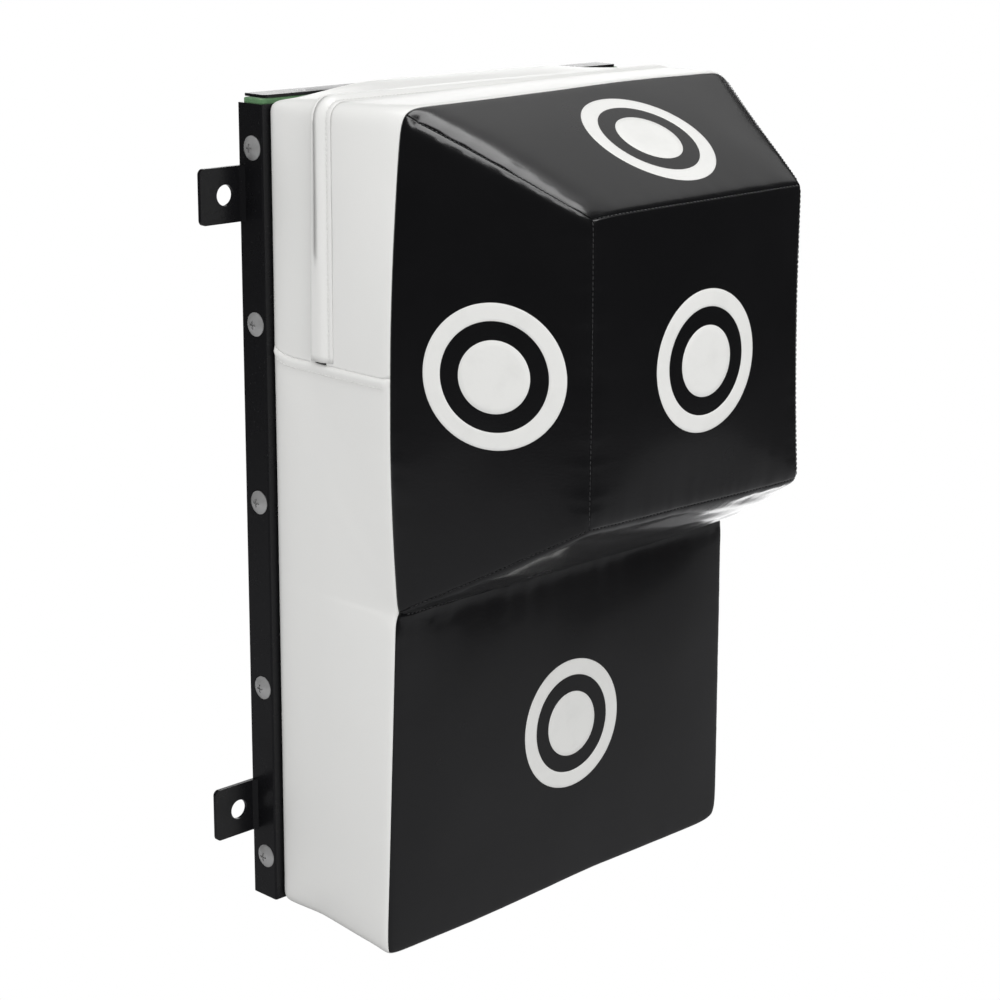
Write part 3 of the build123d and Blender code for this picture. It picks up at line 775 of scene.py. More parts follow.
def print_on_cover(name, centre, out, along, radii):
    """Thin printed ring or disc laid on the cover. centre and directions are in metres."""
    out, along = Vector(out).normalized(), Vector(along).normalized()
    up = out.cross(along)
    centre = Vector(centre) + out * 0.05
    is_ring = radii[0] > 0
    stops = [(radii[0], RIM_LIFT), (radii[0] + PRINT_EDGE, PRINT_LIFT)] if is_ring else []
    inner = radii[0] + PRINT_EDGE if is_ring else 0.0
    width = radii[1] - PRINT_EDGE - inner
    stops += [(inner + width * k / PRINT_ROWS, PRINT_LIFT) for k in range(1, PRINT_ROWS + 1)]
    stops += [(radii[1], RIM_LIFT)]
    rows = []
    for radius, height in stops:
        row = []
        for k in range(PRINT_TURNS):
            angle = 2 * math.pi * k / PRINT_TURNS
            start = centre + (along * math.cos(angle) + up * math.sin(angle)) * radius * MM
            hit, normal = on_cover(start, -out)
            row.append(hit + normal * height * MM)
        rows.append(row)
    verts = [p for row in rows for p in row]
    polys = []
    for r in range(len(rows) - 1):
        polys += band_between(r * PRINT_TURNS, (r + 1) * PRINT_TURNS)
    # The underside lies just above the cover.
    under, last = len(verts), (len(rows) - 1) * PRINT_TURNS
    for row in [rows[0], rows[-1]] if is_ring else [rows[-1]]:
        verts += [p - out * UNDER_DROP * MM for p in row]
    if is_ring:
        polys += band_between(0, under) + band_between(last, under + PRINT_TURNS)
        polys += band_between(under, under + PRINT_TURNS)
    else:
        hit, normal = on_cover(centre, -out)
        top_pole, low_pole = len(verts), len(verts) + 1
        verts += [hit + normal * PRINT_LIFT * MM, hit + normal * UNDER_LIFT * MM]
        polys += band_between(last, under)
        for k in range(PRINT_TURNS):
            n = (k + 1) % PRINT_TURNS
            polys += [(top_pole, n, k), (low_pole, under + k, under + n)]
    obj = solid(name, verts, polys)
    smooth_faces(obj.data)
    return obj


root_half, face_half = HALF, box_mm("head_front_panel")[1][0]
top_drop = TOP - (box_mm("head_front_panel")[1][2] - FOOT)
reach_out = FACE - FRONT
FACETS = {
    "front": ((0, -1, 0), (1, 0, 0)),
    "lower": ((0, -1, 0), (1, 0, 0)),
    "left": ((-reach_out, -(root_half - face_half), 0), (root_half - face_half, -reach_out, 0)),
    "right": ((reach_out, -(root_half - face_half), 0), (root_half - face_half, reach_out, 0)),
    "top": ((0, -top_drop, reach_out), (1, 0, 0)),
}
TARGET_RADII = {"ring": (38.5, 51.0), "disc": (0.0, 25.5)}
prints = []
for place, (out, along) in FACETS.items():
    low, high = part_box(f"{place}_target_ring")
    centre = (Vector(low) + Vector(high)) / 2
    for part, radii in TARGET_RADII.items():
        piece = print_on_cover(f"{place}_print_{part}", centre, out, along, radii)
        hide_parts(f"{place}_target_{part}")
        prints.append(piece)

# ------------------------------------------------------------------ zip flap
def zip_path(step=5.0, start=LAP + 0.8):
    """Stations up the left side, over the top and down the right side, as (x, h, outward x, outward h)."""
    stations = []
    straight = TOP - TOP_RADIUS
    for h in np.linspace(start, straight, max(2, round((straight - start) / step))):
        stations.append((-HALF, h, -1.0, 0.0))
    for k in range(1, 6):
        turn = math.pi / 2 * k / 6
        c, s = math.cos(turn), math.sin(turn)
        stations.append((-HALF + TOP_RADIUS - TOP_RADIUS * c, straight + TOP_RADIUS * s, -c, s))
    for x in np.linspace(-HALF + TOP_RADIUS, 0, round((HALF - TOP_RADIUS) / step)):
        stations.append((x, TOP, 0.0, 1.0))
    mirrored = [(-x, h, -nx, nh) for x, h, nx, nh in stations[-2::-1]]
    return np.array(stations + mirrored)


def sweep(name, stations, section):
    """Closed bar along the zip. section(share) gives the loop of (depth, height above the outline)."""
    rows = []
    lengths = np.concatenate([[0], np.cumsum(np.hypot(*np.diff(stations[:, :2], axis=0).T))])
    for (x, h, nx, nh), run in zip(stations, lengths):
        loop = np.array(section(run, lengths[-1]))
        rows.append(np.stack([x + nx * loop[:, 1], loop[:, 0], h + nh * loop[:, 1]], -1))
    grid = np.stack(rows)
    count = grid.shape[1]
    index = np.arange(grid.shape[0] * count).reshape(grid.shape[0], count)
    after = np.roll(index, -1, axis=1)
    polys = np.stack([index[:-1], after[:-1], after[1:], index[1:]], -1).reshape(-1, 4).tolist()
    polys += [index[0].tolist(), index[-1].tolist()[::-1]]
    obj = solid(name, world(grid.reshape(-1, 3)), polys)
    smooth_faces(obj.data)
    return obj


FLAP_EDGE, FLAP_LIFT, FLAP = 70.5, 3.8, 1.1


def flap_section(run, total):
    """The flap is sewn down along its front edge and lies loose over the zip."""
    near_end = min(run, total - run)
    free = FLAP_EDGE + 2.5 * smooth(near_end / 185.0) - 3.0 * smooth((near_end - 200) / 120)
    wave = 0.25 * noise.noise(Vector((run / 38.0, 0.3, 0.7)))
    wave += 0.12 * noise.noise(Vector((run / 11.0, 4.1, 0.2)))
    free += 1.6 * wave
    lift = FLAP_LIFT + wave
    return [
        (90.4, -0.05), (89.4, 0.3), (88.2, 0.6), (87.0, 0.72), (86.4, 0.6), (85.7, 0.95), (84.6, 1.8),
        (83.0, 2.95), (80.5, lift), (76.5, lift + 0.05), (free + 5.0, lift), (free + 2.2, lift + 0.1),
        (free + 0.7, lift - 0.05), (free, lift - 0.6), (free + 0.6, lift - FLAP), (free + 2.2, lift - 1.15),
        (76.5, lift - FLAP), (80.5, lift - 1.15), (82.8, lift - 1.6), (84.4, 0.9), (85.8, 0.12), (87.6, 0.05),
    ]


flap = sweep("zip_flap_sewn", zip_path(), flap_section)
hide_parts("zip_flap")

# ------------------------------------------------------------------ zip tapes
TAPE_TOP, TAPE = -1.22, 0.56
tape_rear, tape_front = -box_mm("zip_tapes")[1][1], -box_mm("zip_tapes")[0][1]
coil_rear, coil_front = -box_mm("zip_coil_rear")[1][1], -box_mm("zip_coil_front")[0][1]
coil_start = box_mm("zip_coil_rear")[0][2] - FOOT


def tape_section(near, far, corded):
    """Flat tape; when its far edge is corded, the top rises by a hair just inside that edge."""

    def section(run, total):
        low = TAPE_TOP - TAPE
        middle = TAPE_TOP - TAPE / 2
        loop = [(near + 0.3, TAPE_TOP), (far - 0.3, TAPE_TOP), (far, middle)]
        loop += [(far - 0.3, low), (near + 0.3, low), (near, middle)]
        if corded == "far":
            loop[1:2] = [(far - 1.6, TAPE_TOP), (far - 1.2, TAPE_TOP + 0.01), (far - 0.3, TAPE_TOP)]
        return loop

    return section


tapes = [
    sweep("zip_tape_rear", zip_path(start=coil_start), tape_section(tape_rear, coil_rear, "far")),
    sweep("zip_tape_front", zip_path(start=coil_start), tape_section(coil_front, tape_front, "near")),
]
for tape in tapes:
    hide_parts("zip_tapes")

# ------------------------------------------------------------------ tarpaulin round the board
wrap_low, wrap_high = box_mm("backing_wrap")
WRAP, WRAP_MARGIN, WRAP_BEND = 0.75, 40.0, 1.6
WRAP_STEP, WRAP_MOST = 1.6, 12.0
wrap_u = graded(wrap_high[0] - wrap_low[0], WRAP_STEP, WRAP_MOST)
wrap_v = graded(wrap_high[2] - wrap_low[2], WRAP_STEP, WRAP_MOST)


def wrap_ring(inset, depth):
    """The board's outline at an inset and a depth, as its bottom, top, left and right lines."""
    half, low, high = wrap_high[0] - inset, wrap_low[2] - FOOT + inset, wrap_high[2] - FOOT - inset
    a, b = np.array([-half, depth, low]), np.array([half, depth, low])
    c, d = np.array([-half, depth, high]), np.array([half, depth, high])
    return bowed(a, b, wrap_u), bowed(c, d, wrap_u), bowed(a, c, wrap_v), bowed(b, d, wrap_v)


def wrapped_board_cover():
    """Tarpaulin over the board's front and edges, turned in onto its back, crinkled most at the corners."""
    rear, front = -wrap_high[1], -wrap_low[1]
    stops = [(WRAP_MARGIN, rear), (WRAP_MARGIN - 1.5, rear), (20.0, rear), (6.0, rear), (WRAP_BEND, rear)]
    stops += [(0.3 * WRAP_BEND, rear + 0.3 * WRAP_BEND), (0.0, rear + WRAP_BEND), (0.0, (rear + front) / 2)]
    stops += [(0.0, front - WRAP_BEND), (0.3 * WRAP_BEND, front - 0.3 * WRAP_BEND), (WRAP_BEND, front)]
    lines = [wrap_ring(inset, depth) for inset, depth in stops]
    patches = [(np.stack([ring[side] for ring in lines]), 0) for side in range(4)]
    patches.append((coons(*lines[-1]), 0))
    sheet_points, sheet_faces, _ = subdivide("wrap_sheet", *join_patches(patches)[:2])
    out = vertex_normals(sheet_points, sheet_faces)
    if np.sum(out[:, 1] * (sheet_points[:, 1] - (rear + front) / 2)) < 0:
        out = -out
    inner = sheet_points - out * WRAP
    crinkle = 0.18 * ripple(sheet_points, 9.0, 31) - 0.16
    corner = np.exp(-((wrap_high[0] - abs(sheet_points[:, 0])) / 14) ** 2)
    outer = sheet_points + out * (crinkle * (0.4 + 0.6 * corner))[:, None]
    return shell("board_wrap", sheet_faces, outer, inner)


board_wrap = wrapped_board_cover()
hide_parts("backing_wrap")

# ------------------------------------------------------------------ node helpers
def add_node(tree, kind, inputs=None, **settings):
    """Node with its settings made and its inputs linked or filled in."""
    node = tree.nodes.new(kind)
    for key, value in settings.items():
        setattr(node, key, value)
    for key, value in (inputs or {}).items():
        if isinstance(value, bpy.types.NodeSocket):
            tree.links.new(value, node.inputs[key])
        else:
            node.inputs[key].default_value = value
    return node


def new_group(name, kind, inputs, outputs):
    """Node group with named sockets. Each is (name, socket type) or (name, socket type, default)."""
    tree = bpy.data.node_groups.new(name, kind)
    for way, sockets in (("INPUT", inputs), ("OUTPUT", outputs)):
        for label, socket_type, *default in sockets:
            socket = tree.interface.new_socket(label, in_out=way, socket_type=socket_type)
            if default:
                socket.default_value = default[0]
    return tree, tree.nodes.new("NodeGroupInput"), tree.nodes.new("NodeGroupOutput")


def math_node(tree, operation, a, b=0.0, clamp=False):
    return add_node(tree, "ShaderNodeMath", {0: a, 1: b}, operation=operation, use_clamp=clamp).outputs[0]


VECTOR, FLOAT = "NodeSocketVector", "NodeSocketFloat"


def make_grain_group():
    """Embossed grain of synthetic leather: fine pebbles broken up by soft creases."""
    tree, given, result = new_group(
        "Leather grain", "ShaderNodeTree",
        [
            ("Position", VECTOR),
            ("Pebbles per metre", FLOAT, 900.0),
            ("Creases per metre", FLOAT, 45.0),
            ("Crease share", FLOAT, 0.4),
        ],
        [("Height", FLOAT), ("Gloss change", FLOAT)],
    )
    place = given.outputs["Position"]
    pebble_inputs = {"Vector": place, "Scale": given.outputs["Pebbles per metre"]}
    pebbles = add_node(tree, "ShaderNodeTexVoronoi", pebble_inputs, feature="SMOOTH_F1")
    crease_inputs = {"Scale": given.outputs["Creases per metre"], "Detail": 4.0, "Distortion": 0.6}
    creases = add_node(tree, "ShaderNodeTexNoise", {"Vector": place, **crease_inputs})
    cloud = add_node(tree, "ShaderNodeTexNoise", {"Vector": place, "Scale": 14.0, "Detail": 3.0})
    crease = math_node(tree, "MULTIPLY", creases.outputs["Fac"], given.outputs["Crease share"])
    height = math_node(tree, "ADD", math_node(tree, "MULTIPLY", pebbles.outputs["Distance"], 0.35), crease)
    tree.links.new(height, result.inputs["Height"])
    tree.links.new(math_node(tree, "SUBTRACT", cloud.outputs["Fac"], 0.5), result.inputs["Gloss change"])
    return tree


def make_weave_group():
    """Plain weave: threads over and under each other along two directions."""
    tree, given, result = new_group(
        "Plain weave", "ShaderNodeTree",
        [("Position", VECTOR), ("Threads per metre", FLOAT, 800.0)],
        [("Height", FLOAT), ("Thread shade", FLOAT)],
    )
    scaled = add_node(tree, "ShaderNodeVectorMath", {0: given.outputs["Position"]}, operation="SCALE")
    tree.links.new(given.outputs["Threads per metre"], scaled.inputs["Scale"])
    axes = add_node(tree, "ShaderNodeSeparateXYZ", {0: scaled.outputs[0]})
    run = math_node(tree, "ADD", axes.outputs["X"], axes.outputs["Y"])
    warp = math_node(tree, "SINE", math_node(tree, "MULTIPLY", run, math.pi))
    weft = math_node(tree, "SINE", math_node(tree, "MULTIPLY", axes.outputs["Z"], math.pi))
    height = math_node(tree, "ABSOLUTE", math_node(tree, "MULTIPLY", warp, weft))
    fuzz_inputs = {"Vector": given.outputs["Position"], "Scale": 260.0, "Detail": 3.0}
    fuzz = add_node(tree, "ShaderNodeTexNoise", fuzz_inputs)
    tree.links.new(height, result.inputs["Height"])
    # The tint share is painted shade, darker in the grooves between the threads, mixed with random fuzz tone.
    shade = math_node(tree, "ADD", math_node(tree, "MULTIPLY", height, 0.35), fuzz.outputs["Fac"])
    tree.links.new(shade, result.inputs["Thread shade"])
    return tree


def make_wear_group():
    """Faint handling marks: soft smudges and a few fine dust specks."""
    tree, given, result = new_group(
        "Handling marks", "ShaderNodeTree",
        [("Position", VECTOR), ("Smudges per metre", FLOAT, 9.0)],
        [("Smudge", FLOAT), ("Speck", FLOAT)],
    )
    place = given.outputs["Position"]
    smudge_inputs = {"Scale": given.outputs["Smudges per metre"], "Detail": 6.0, "Roughness": 0.62}
    smudge = add_node(tree, "ShaderNodeTexNoise", {"Vector": place, **smudge_inputs})
    soft_range = {"Value": smudge.outputs["Fac"], "From Min": 0.48, "From Max": 0.72}
    soft = add_node(tree, "ShaderNodeMapRange", soft_range)
    specks = add_node(tree, "ShaderNodeTexVoronoi", {"Vector": place, "Scale": 240.0}, feature="F1")
    few_range = {"Value": specks.outputs["Distance"], "From Min": 0.1, "From Max": 0.04}
    few = add_node(tree, "ShaderNodeMapRange", few_range)
    tree.links.new(soft.outputs["Result"], result.inputs["Smudge"])
    tree.links.new(few.outputs["Result"], result.inputs["Speck"])
    return tree


grain_group, weave_group, wear_group = make_grain_group(), make_weave_group(), make_wear_group()


def new_material(name, colour, roughness, metallic=0.0):
    """Material, its node tree, its shader and its object coordinates."""
    material = bpy.data.materials.new(name)
    material.use_nodes = True
    tree = material.node_tree
    shader = tree.nodes["Principled BSDF"]
    shader.inputs["Base Color"].default_value = (*colour, 1.0)
    shader.inputs["Roughness"].default_value = roughness
    shader.inputs["Metallic"].default_value = metallic
    place = add_node(tree, "ShaderNodeTexCoord").outputs["Object"]
    return material, tree, shader, place


def use_group(tree, group, **inputs):
    """A node group placed in a tree. Underscores stand for the spaces in its sockets' names."""
    node = tree.nodes.new("ShaderNodeGroup")
    node.node_tree = group
    for key, value in inputs.items():
        label = key.replace("_", " ")
        if isinstance(value, bpy.types.NodeSocket):
            tree.links.new(value, node.inputs[label])
        else:
            node.inputs[label].default_value = value
    return node


def bump(tree, shader, height, distance_mm):
    node = add_node(tree, "ShaderNodeBump", {"Height": height, "Distance": distance_mm * MM})
    tree.links.new(node.outputs["Normal"], shader.inputs["Normal"])


def vary_roughness(tree, shader, change, base, amount):
    roughness = math_node(tree, "ADD", math_node(tree, "MULTIPLY", change, amount), base, clamp=True)
    tree.links.new(roughness, shader.inputs["Roughness"])


def tint(tree, shader, share, colour_a, colour_b):
    mix = add_node(tree, "ShaderNodeMix", data_type="RGBA")
    tree.links.new(share, mix.inputs["Factor"])
    mix.inputs[6].default_value = (*colour_a, 1.0)
    mix.inputs[7].default_value = (*colour_b, 1.0)
    tree.links.new(mix.outputs[2], shader.inputs["Base Color"])


def leather(name, colour, worn_colour, roughness, pebbles, relief_mm, coat):
    material, tree, shader, place = new_material(name, colour, roughness)
    grain = use_group(tree, grain_group, Position=place, Pebbles_per_metre=pebbles)
    wear = use_group(tree, wear_group, Position=place)
    tint(tree, shader, math_node(tree, "MULTIPLY", wear.outputs["Smudge"], 0.3), colour, worn_colour)
    vary_roughness(tree, shader, grain.outputs["Gloss change"], roughness, 0.12)
    bump(tree, shader, grain.outputs["Height"], relief_mm)
    shader.inputs["Coat Weight"].default_value = coat
    shader.inputs["Coat Roughness"].default_value = 0.12
    return material


def woven(name, colour, dark_colour, roughness, threads, relief_mm, sheen=0.2):
    material, tree, shader, place = new_material(name, colour, roughness)
    weave = use_group(tree, weave_group, Position=place, Threads_per_metre=threads)
    # The weave's grooves get painted shade in the colour, mixed with random fuzz tone.
    tint(tree, shader, weave.outputs["Thread shade"], dark_colour, colour)
    bump(tree, shader, weave.outputs["Height"], relief_mm)
    shader.inputs["Sheen Weight"].default_value = sheen
    shader.inputs["Sheen Roughness"].default_value = 0.5
    return material


def painted_steel(name, colour, roughness):
    material, tree, shader, place = new_material(name, colour, roughness)
    peel = add_node(tree, "ShaderNodeTexNoise", {"Vector": place, "Scale": 420.0, "Detail": 2.0})
    wear = use_group(tree, wear_group, Position=place, Smudges_per_metre=16.0)
    vary_roughness(tree, shader, wear.outputs["Smudge"], roughness, 0.12)
    tint(tree, shader, math_node(tree, "MULTIPLY", wear.outputs["Speck"], 0.35), colour, (0.12, 0.12, 0.12))
    bump(tree, shader, peel.outputs["Fac"], 0.05)
    shader.inputs["Specular IOR Level"].default_value = 0.27
    return material


def bare_metal(name, colour, roughness, relief_mm=0.03, metallic=1.0):
    material, tree, shader, place = new_material(name, colour, roughness, metallic)
    stretched = add_node(tree, "ShaderNodeMapping", {"Vector": place, "Scale": (1.0, 1.0, 6.0)})
    scratch_inputs = {"Vector": stretched.outputs[0], "Scale": 520.0, "Detail": 4.0}
    scratches = add_node(tree, "ShaderNodeTexNoise", scratch_inputs)
    wear = use_group(tree, wear_group, Position=place, Smudges_per_metre=60.0)
    vary_roughness(tree, shader, scratches.outputs["Fac"], roughness - 0.08, 0.16)
    dull = tuple(0.6 * c for c in colour)
    tint(tree, shader, math_node(tree, "MULTIPLY", wear.outputs["Smudge"], 0.35), colour, dull)
    bump(tree, shader, scratches.outputs["Fac"], relief_mm)
    return material


def plywood_material():
    pale, dark = (0.74, 0.56, 0.35), (0.42, 0.27, 0.13)
    material, tree, shader, place = new_material("plywood", pale, 0.6)
    stretched = add_node(tree, "ShaderNodeMapping", {"Vector": place, "Scale": (9.0, 9.0, 0.9)})
    ring_inputs = {"Vector": stretched.outputs[0], "Scale": 4.0, "Detail": 8.0, "Distortion": 1.2}
    grain_rings = add_node(tree, "ShaderNodeTexNoise", ring_inputs)
    fibre_inputs = {"Vector": stretched.outputs[0], "Scale": 60.0, "Detail": 3.0}
    fibre = add_node(tree, "ShaderNodeTexNoise", fibre_inputs)
    broad = math_node(tree, "MULTIPLY", grain_rings.outputs["Fac"], 0.8)
    fine = math_node(tree, "MULTIPLY", fibre.outputs["Fac"], 0.2)
    share = math_node(tree, "ADD", broad, fine)
    tint(tree, shader, share, dark, pale)
    bump(tree, shader, fibre.outputs["Fac"], 0.12)
    return material


def foam_material():
    material, tree, shader, place = new_material("foam", (0.16, 0.16, 0.18), 0.95)
    cells = add_node(tree, "ShaderNodeTexVoronoi", {"Vector": place, "Scale": 480.0})
    # The colour is painted shade, darker in the middle of each cell where the pores sink in.
    tint(tree, shader, cells.outputs["Distance"], (0.09, 0.09, 0.1), (0.24, 0.24, 0.26))
    bump(tree, shader, cells.outputs["Distance"], 0.6)
    return material


def thread_material(name, colour):
    material, tree, shader, place = new_material(name, colour, 0.6)
    twist = add_node(tree, "ShaderNodeTexWave", {"Vector": place, "Scale": 1500.0, "Distortion": 1.0})
    bump(tree, shader, twist.outputs["Fac"], 0.06)
    shader.inputs["Sheen Weight"].default_value = 0.3
    return material


def print_material():
    """Matt white screen print, thin enough for the leather's grain to show."""
    fresh, worn = (0.84, 0.84, 0.82), (0.72, 0.72, 0.7)
    material, tree, shader, place = new_material("white_print", fresh, 0.5)
    grain = use_group(tree, grain_group, Position=place, Pebbles_per_metre=800.0)
    wear = use_group(tree, wear_group, Position=place, Smudges_per_metre=40.0)
    tint(tree, shader, math_node(tree, "MULTIPLY", wear.outputs["Smudge"], 0.35), fresh, worn)
    bump(tree, shader, grain.outputs["Height"], 0.1)
    return material


BLACK, RUBBED_BLACK = (0.0045, 0.0045, 0.0052), (0.009, 0.009, 0.01)
MATERIALS = {
    "black_cover": leather("black_cover", BLACK, RUBBED_BLACK, 0.25, 620.0, 0.08, 0.4),
    "white_cover": leather("white_cover", (0.85, 0.85, 0.832), (0.8, 0.8, 0.78), 0.42, 760.0, 0.09, 0.1),
    "white_print": print_material(),
    "green_tarpaulin": woven("green_tarpaulin", (0.13, 0.3, 0.13), (0.07, 0.17, 0.07), 0.5, 420.0, 0.18),
    "back_cloth": woven("back_cloth", (0.09, 0.09, 0.095), (0.03, 0.03, 0.032), 0.85, 900.0, 0.2),
    "zip_tape": woven("zip_tape", (0.8, 0.8, 0.79), (0.6, 0.6, 0.59), 0.75, 1600.0, 0.1),
    "zip_coil": thread_material("zip_coil", (0.85, 0.85, 0.84)),
    "black_frame_paint": painted_steel("black_frame_paint", (0.008, 0.008, 0.009), 0.26),
    "zinc_screws": bare_metal("zinc_screws", (0.6, 0.6, 0.6), 0.34, metallic=0.6),
    "staple_wire": bare_metal("staple_wire", (0.62, 0.62, 0.63), 0.4),
    "zip_metal": bare_metal("zip_metal", (0.6, 0.6, 0.62), 0.3),
    "plywood": plywood_material(),
    "foam": foam_material(),
}
black_thread = thread_material("black_thread", (0.02, 0.02, 0.022))
white_thread = thread_material("white_thread", (0.85, 0.85, 0.83))


def dress(obj, slot_name, material=None):
    """Gives a piece the material named by its slot in the record, and its place on the pad."""
    obj.data.materials.clear()
    obj.data.materials.append(material or MATERIALS[slot_name])
    obj.data.polygons.foreach_set("material_index", np.zeros(len(obj.data.polygons), np.int32))
    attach(obj, "pad")


for entry in frame["record"]["subparts"]:
    node = frame["nodes"][entry["node"]]
    node.data.materials.clear()
    node.data.materials.append(MATERIALS[entry["material_slot"]])

slot_of = {entry["node"]: entry["material_slot"] for entry in frame["record"]["subparts"]}
for node_name, piece in cover_pieces.items():
    dress(piece, slot_of[node_name])
for piece in foam_pieces:
    dress(piece, "foam")
for piece in prints:
    dress(piece, "white_print")
dress(flap, "white_cover")
dress(board_wrap, "green_tarpaulin")
for tape in tapes:
    dress(tape, "zip_tape")


# ------------------------------------------------------------------ stitches
def stitch_bead(tree, given):
    """A short bead of thread."""
    bead = add_node(tree, "GeometryNodeMeshUVSphere", {"Segments": 8, "Rings": 5, "Radius": 0.5})
    length, thickness = given.outputs["Length"], given.outputs["Thickness"]
    size = add_node(tree, "ShaderNodeCombineXYZ", {"X": length, "Y": thickness, "Z": thickness})
    return bead.outputs[0], size.outputs[0]


def coil_loop(tree, given):
    """One loop of a zip's coil, standing across the zip."""
    ring = add_node(tree, "GeometryNodeCurvePrimitiveCircle", {"Resolution": 10, "Radius": 1.0})
    wire = add_node(tree, "GeometryNodeCurvePrimitiveCircle", {"Resolution": 4, "Radius": 0.42})
    curves = {"Curve": ring.outputs[0], "Profile Curve": wire.outputs[0]}
    loop = add_node(tree, "GeometryNodeCurveToMesh", curves)
    on_edge = {"Geometry": loop.outputs[0], "Rotation": (0.0, math.pi / 2, 0.0)}
    stand = add_node(tree, "GeometryNodeTransform", on_edge)
    length, thickness = given.outputs["Length"], given.outputs["Thickness"]
    size = add_node(tree, "ShaderNodeCombineXYZ", {"X": thickness, "Y": length, "Z": length})
    return stand.outputs[0], size.outputs[0]


def make_row_group(name, make_unit):
    """Geometry Nodes: one shape repeated along lines at an even pitch, turned to the surface below it."""
    tree, given, result = new_group(
        name, "GeometryNodeTree",
        [
            ("Lines", "NodeSocketGeometry"),
            ("Pitch", FLOAT, 0.0036),
            ("Length", FLOAT, 0.0029),
            ("Thickness", FLOAT, 0.0007),
            ("Material", "NodeSocketMaterial"),
        ],
        [("Row", "NodeSocketGeometry")],
    )
    curve = add_node(tree, "GeometryNodeMeshToCurve", {"Mesh": given.outputs["Lines"]})
    spacing = {"Curve": curve.outputs[0], "Length": given.outputs["Pitch"]}
    even = add_node(tree, "GeometryNodeResampleCurve", spacing, mode="LENGTH")
    away = add_node(tree, "GeometryNodeInputNamedAttribute", {"Name": "away"}, data_type="FLOAT_VECTOR")
    tangent = tree.nodes.new("GeometryNodeInputTangent")
    kept = add_node(
        tree, "GeometryNodeStoreNamedAttribute",
        {"Geometry": even.outputs[0], "Name": "run", "Value": tangent.outputs[0]},
        data_type="FLOAT_VECTOR", domain="POINT",
    )
    points_node = add_node(tree, "GeometryNodeCurveToPoints", {"Curve": kept.outputs[0]}, mode="EVALUATED")
    run = add_node(tree, "GeometryNodeInputNamedAttribute", {"Name": "run"}, data_type="FLOAT_VECTOR")
    along = add_node(tree, "FunctionNodeAlignRotationToVector", {"Vector": run.outputs[0]}, axis="X")
    upright = add_node(
        tree, "FunctionNodeAlignRotationToVector",
        {"Rotation": along.outputs[0], "Vector": away.outputs[0]},
        axis="Z", pivot_axis="X",
    )
    unit, size = make_unit(tree, given)
    placed = add_node(
        tree, "GeometryNodeInstanceOnPoints",
        {"Points": points_node.outputs[0], "Instance": unit, "Rotation": upright.outputs[0], "Scale": size},
    )
    real = add_node(tree, "GeometryNodeRealizeInstances", {"Geometry": placed.outputs[0]})
    thread = {"Geometry": real.outputs[0], "Material": given.outputs["Material"]}
    painted = add_node(tree, "GeometryNodeSetMaterial", thread)
    tree.links.new(painted.outputs[0], result.inputs["Row"])
    return tree


stitch_group = make_row_group("Row of stitches", stitch_bead)
coil_group = make_row_group("Row of coil loops", coil_loop)


def run_nodes(name, source, group, **values):
    """Runs a Geometry Nodes group on a mesh and keeps the outcome as a plain mesh object."""
    modifier = source.modifiers.new("Nodes", "NODES")
    modifier.node_group = group
    for item in group.interface.items_tree:
        if item.in_out == "INPUT" and item.name in values:
            modifier[item.identifier] = values[item.name]
    bpy.context.view_layer.update()
    mesh = applied_mesh(source)
    remove_object(source)
    mesh.name = name
    smooth_faces(mesh)
    for attribute in [a.name for a in mesh.attributes if a.name in ("away", "run")]:
        mesh.attributes.remove(mesh.attributes[attribute])
    return link(name, mesh)


def line_object(lines):
    """Mesh of separate lines in metres. Each is a list of (point, normal)."""
    verts, edges, away = [], [], []
    for line in lines:
        start = len(verts)
        verts += [tuple(p) for p, _ in line]
        away += [tuple(n) for _, n in line]
        edges += [(start + i, start + i + 1) for i in range(len(line) - 1)]
    mesh = bpy.data.meshes.new("stitch_lines")
    mesh.from_pydata(verts, edges, [])
    attribute = mesh.attributes.new("away", "FLOAT_VECTOR", "POINT")
    attribute.data.foreach_set("vector", np.array(away, np.float32).reshape(-1))
    return link("stitch_lines", mesh)


def seam_lines(wanted, lift_mm):
    """Lines that follow the seams between wanted pairs of panels, broken where seams meet."""
    edges = seam_edges(faces, labels, wanted)
    neighbours = {}
    for a, b in edges:
        neighbours.setdefault(int(a), []).append(int(b))
        neighbours.setdefault(int(b), []).append(int(a))
    used, lines = set(), []
    starts = [v for v, n in neighbours.items() if len(n) != 2] or [int(edges[0][0])]
    for start in starts:
        for step in neighbours[start]:
            if (start, step) in used:
                continue
            chain, before, here = [start], start, step
            while True:
                used.update({(before, here), (here, before)})
                chain.append(here)
                if len(neighbours[here]) != 2 or here == start:
                    break
                onward = [v for v in neighbours[here] if v != before]
                before, here = here, onward[0]
            lines.append(chain)
    result = []
    for chain in lines:
        where = world(points[chain] + normals[chain] * lift_mm)
        direction = normals[chain] * np.array([1, -1, 1])
        result.append([(Vector(p), Vector(n)) for p, n in zip(where, direction)])
    return result


def cover_line(starts, direction, lift_mm):
    """Line on the cover below points given in pad coordinates, seen along a direction."""
    found = [on_cover(Vector(p), Vector(direction)) for p in world(np.array(starts))]
    return [(hit + normal * lift_mm * MM, normal) for hit, normal in found]


STITCH_PITCH, STITCH, THREAD, THREAD_LIFT = 3.6, 2.9, 0.7, 0.15


def stitches(name, lines, material, slot_name):
    obj = run_nodes(
        name, line_object(lines), stitch_group,
        Pitch=STITCH_PITCH * MM, Length=STITCH * MM, Thickness=THREAD * MM, Material=material,
    )
    dress(obj, slot_name, material)


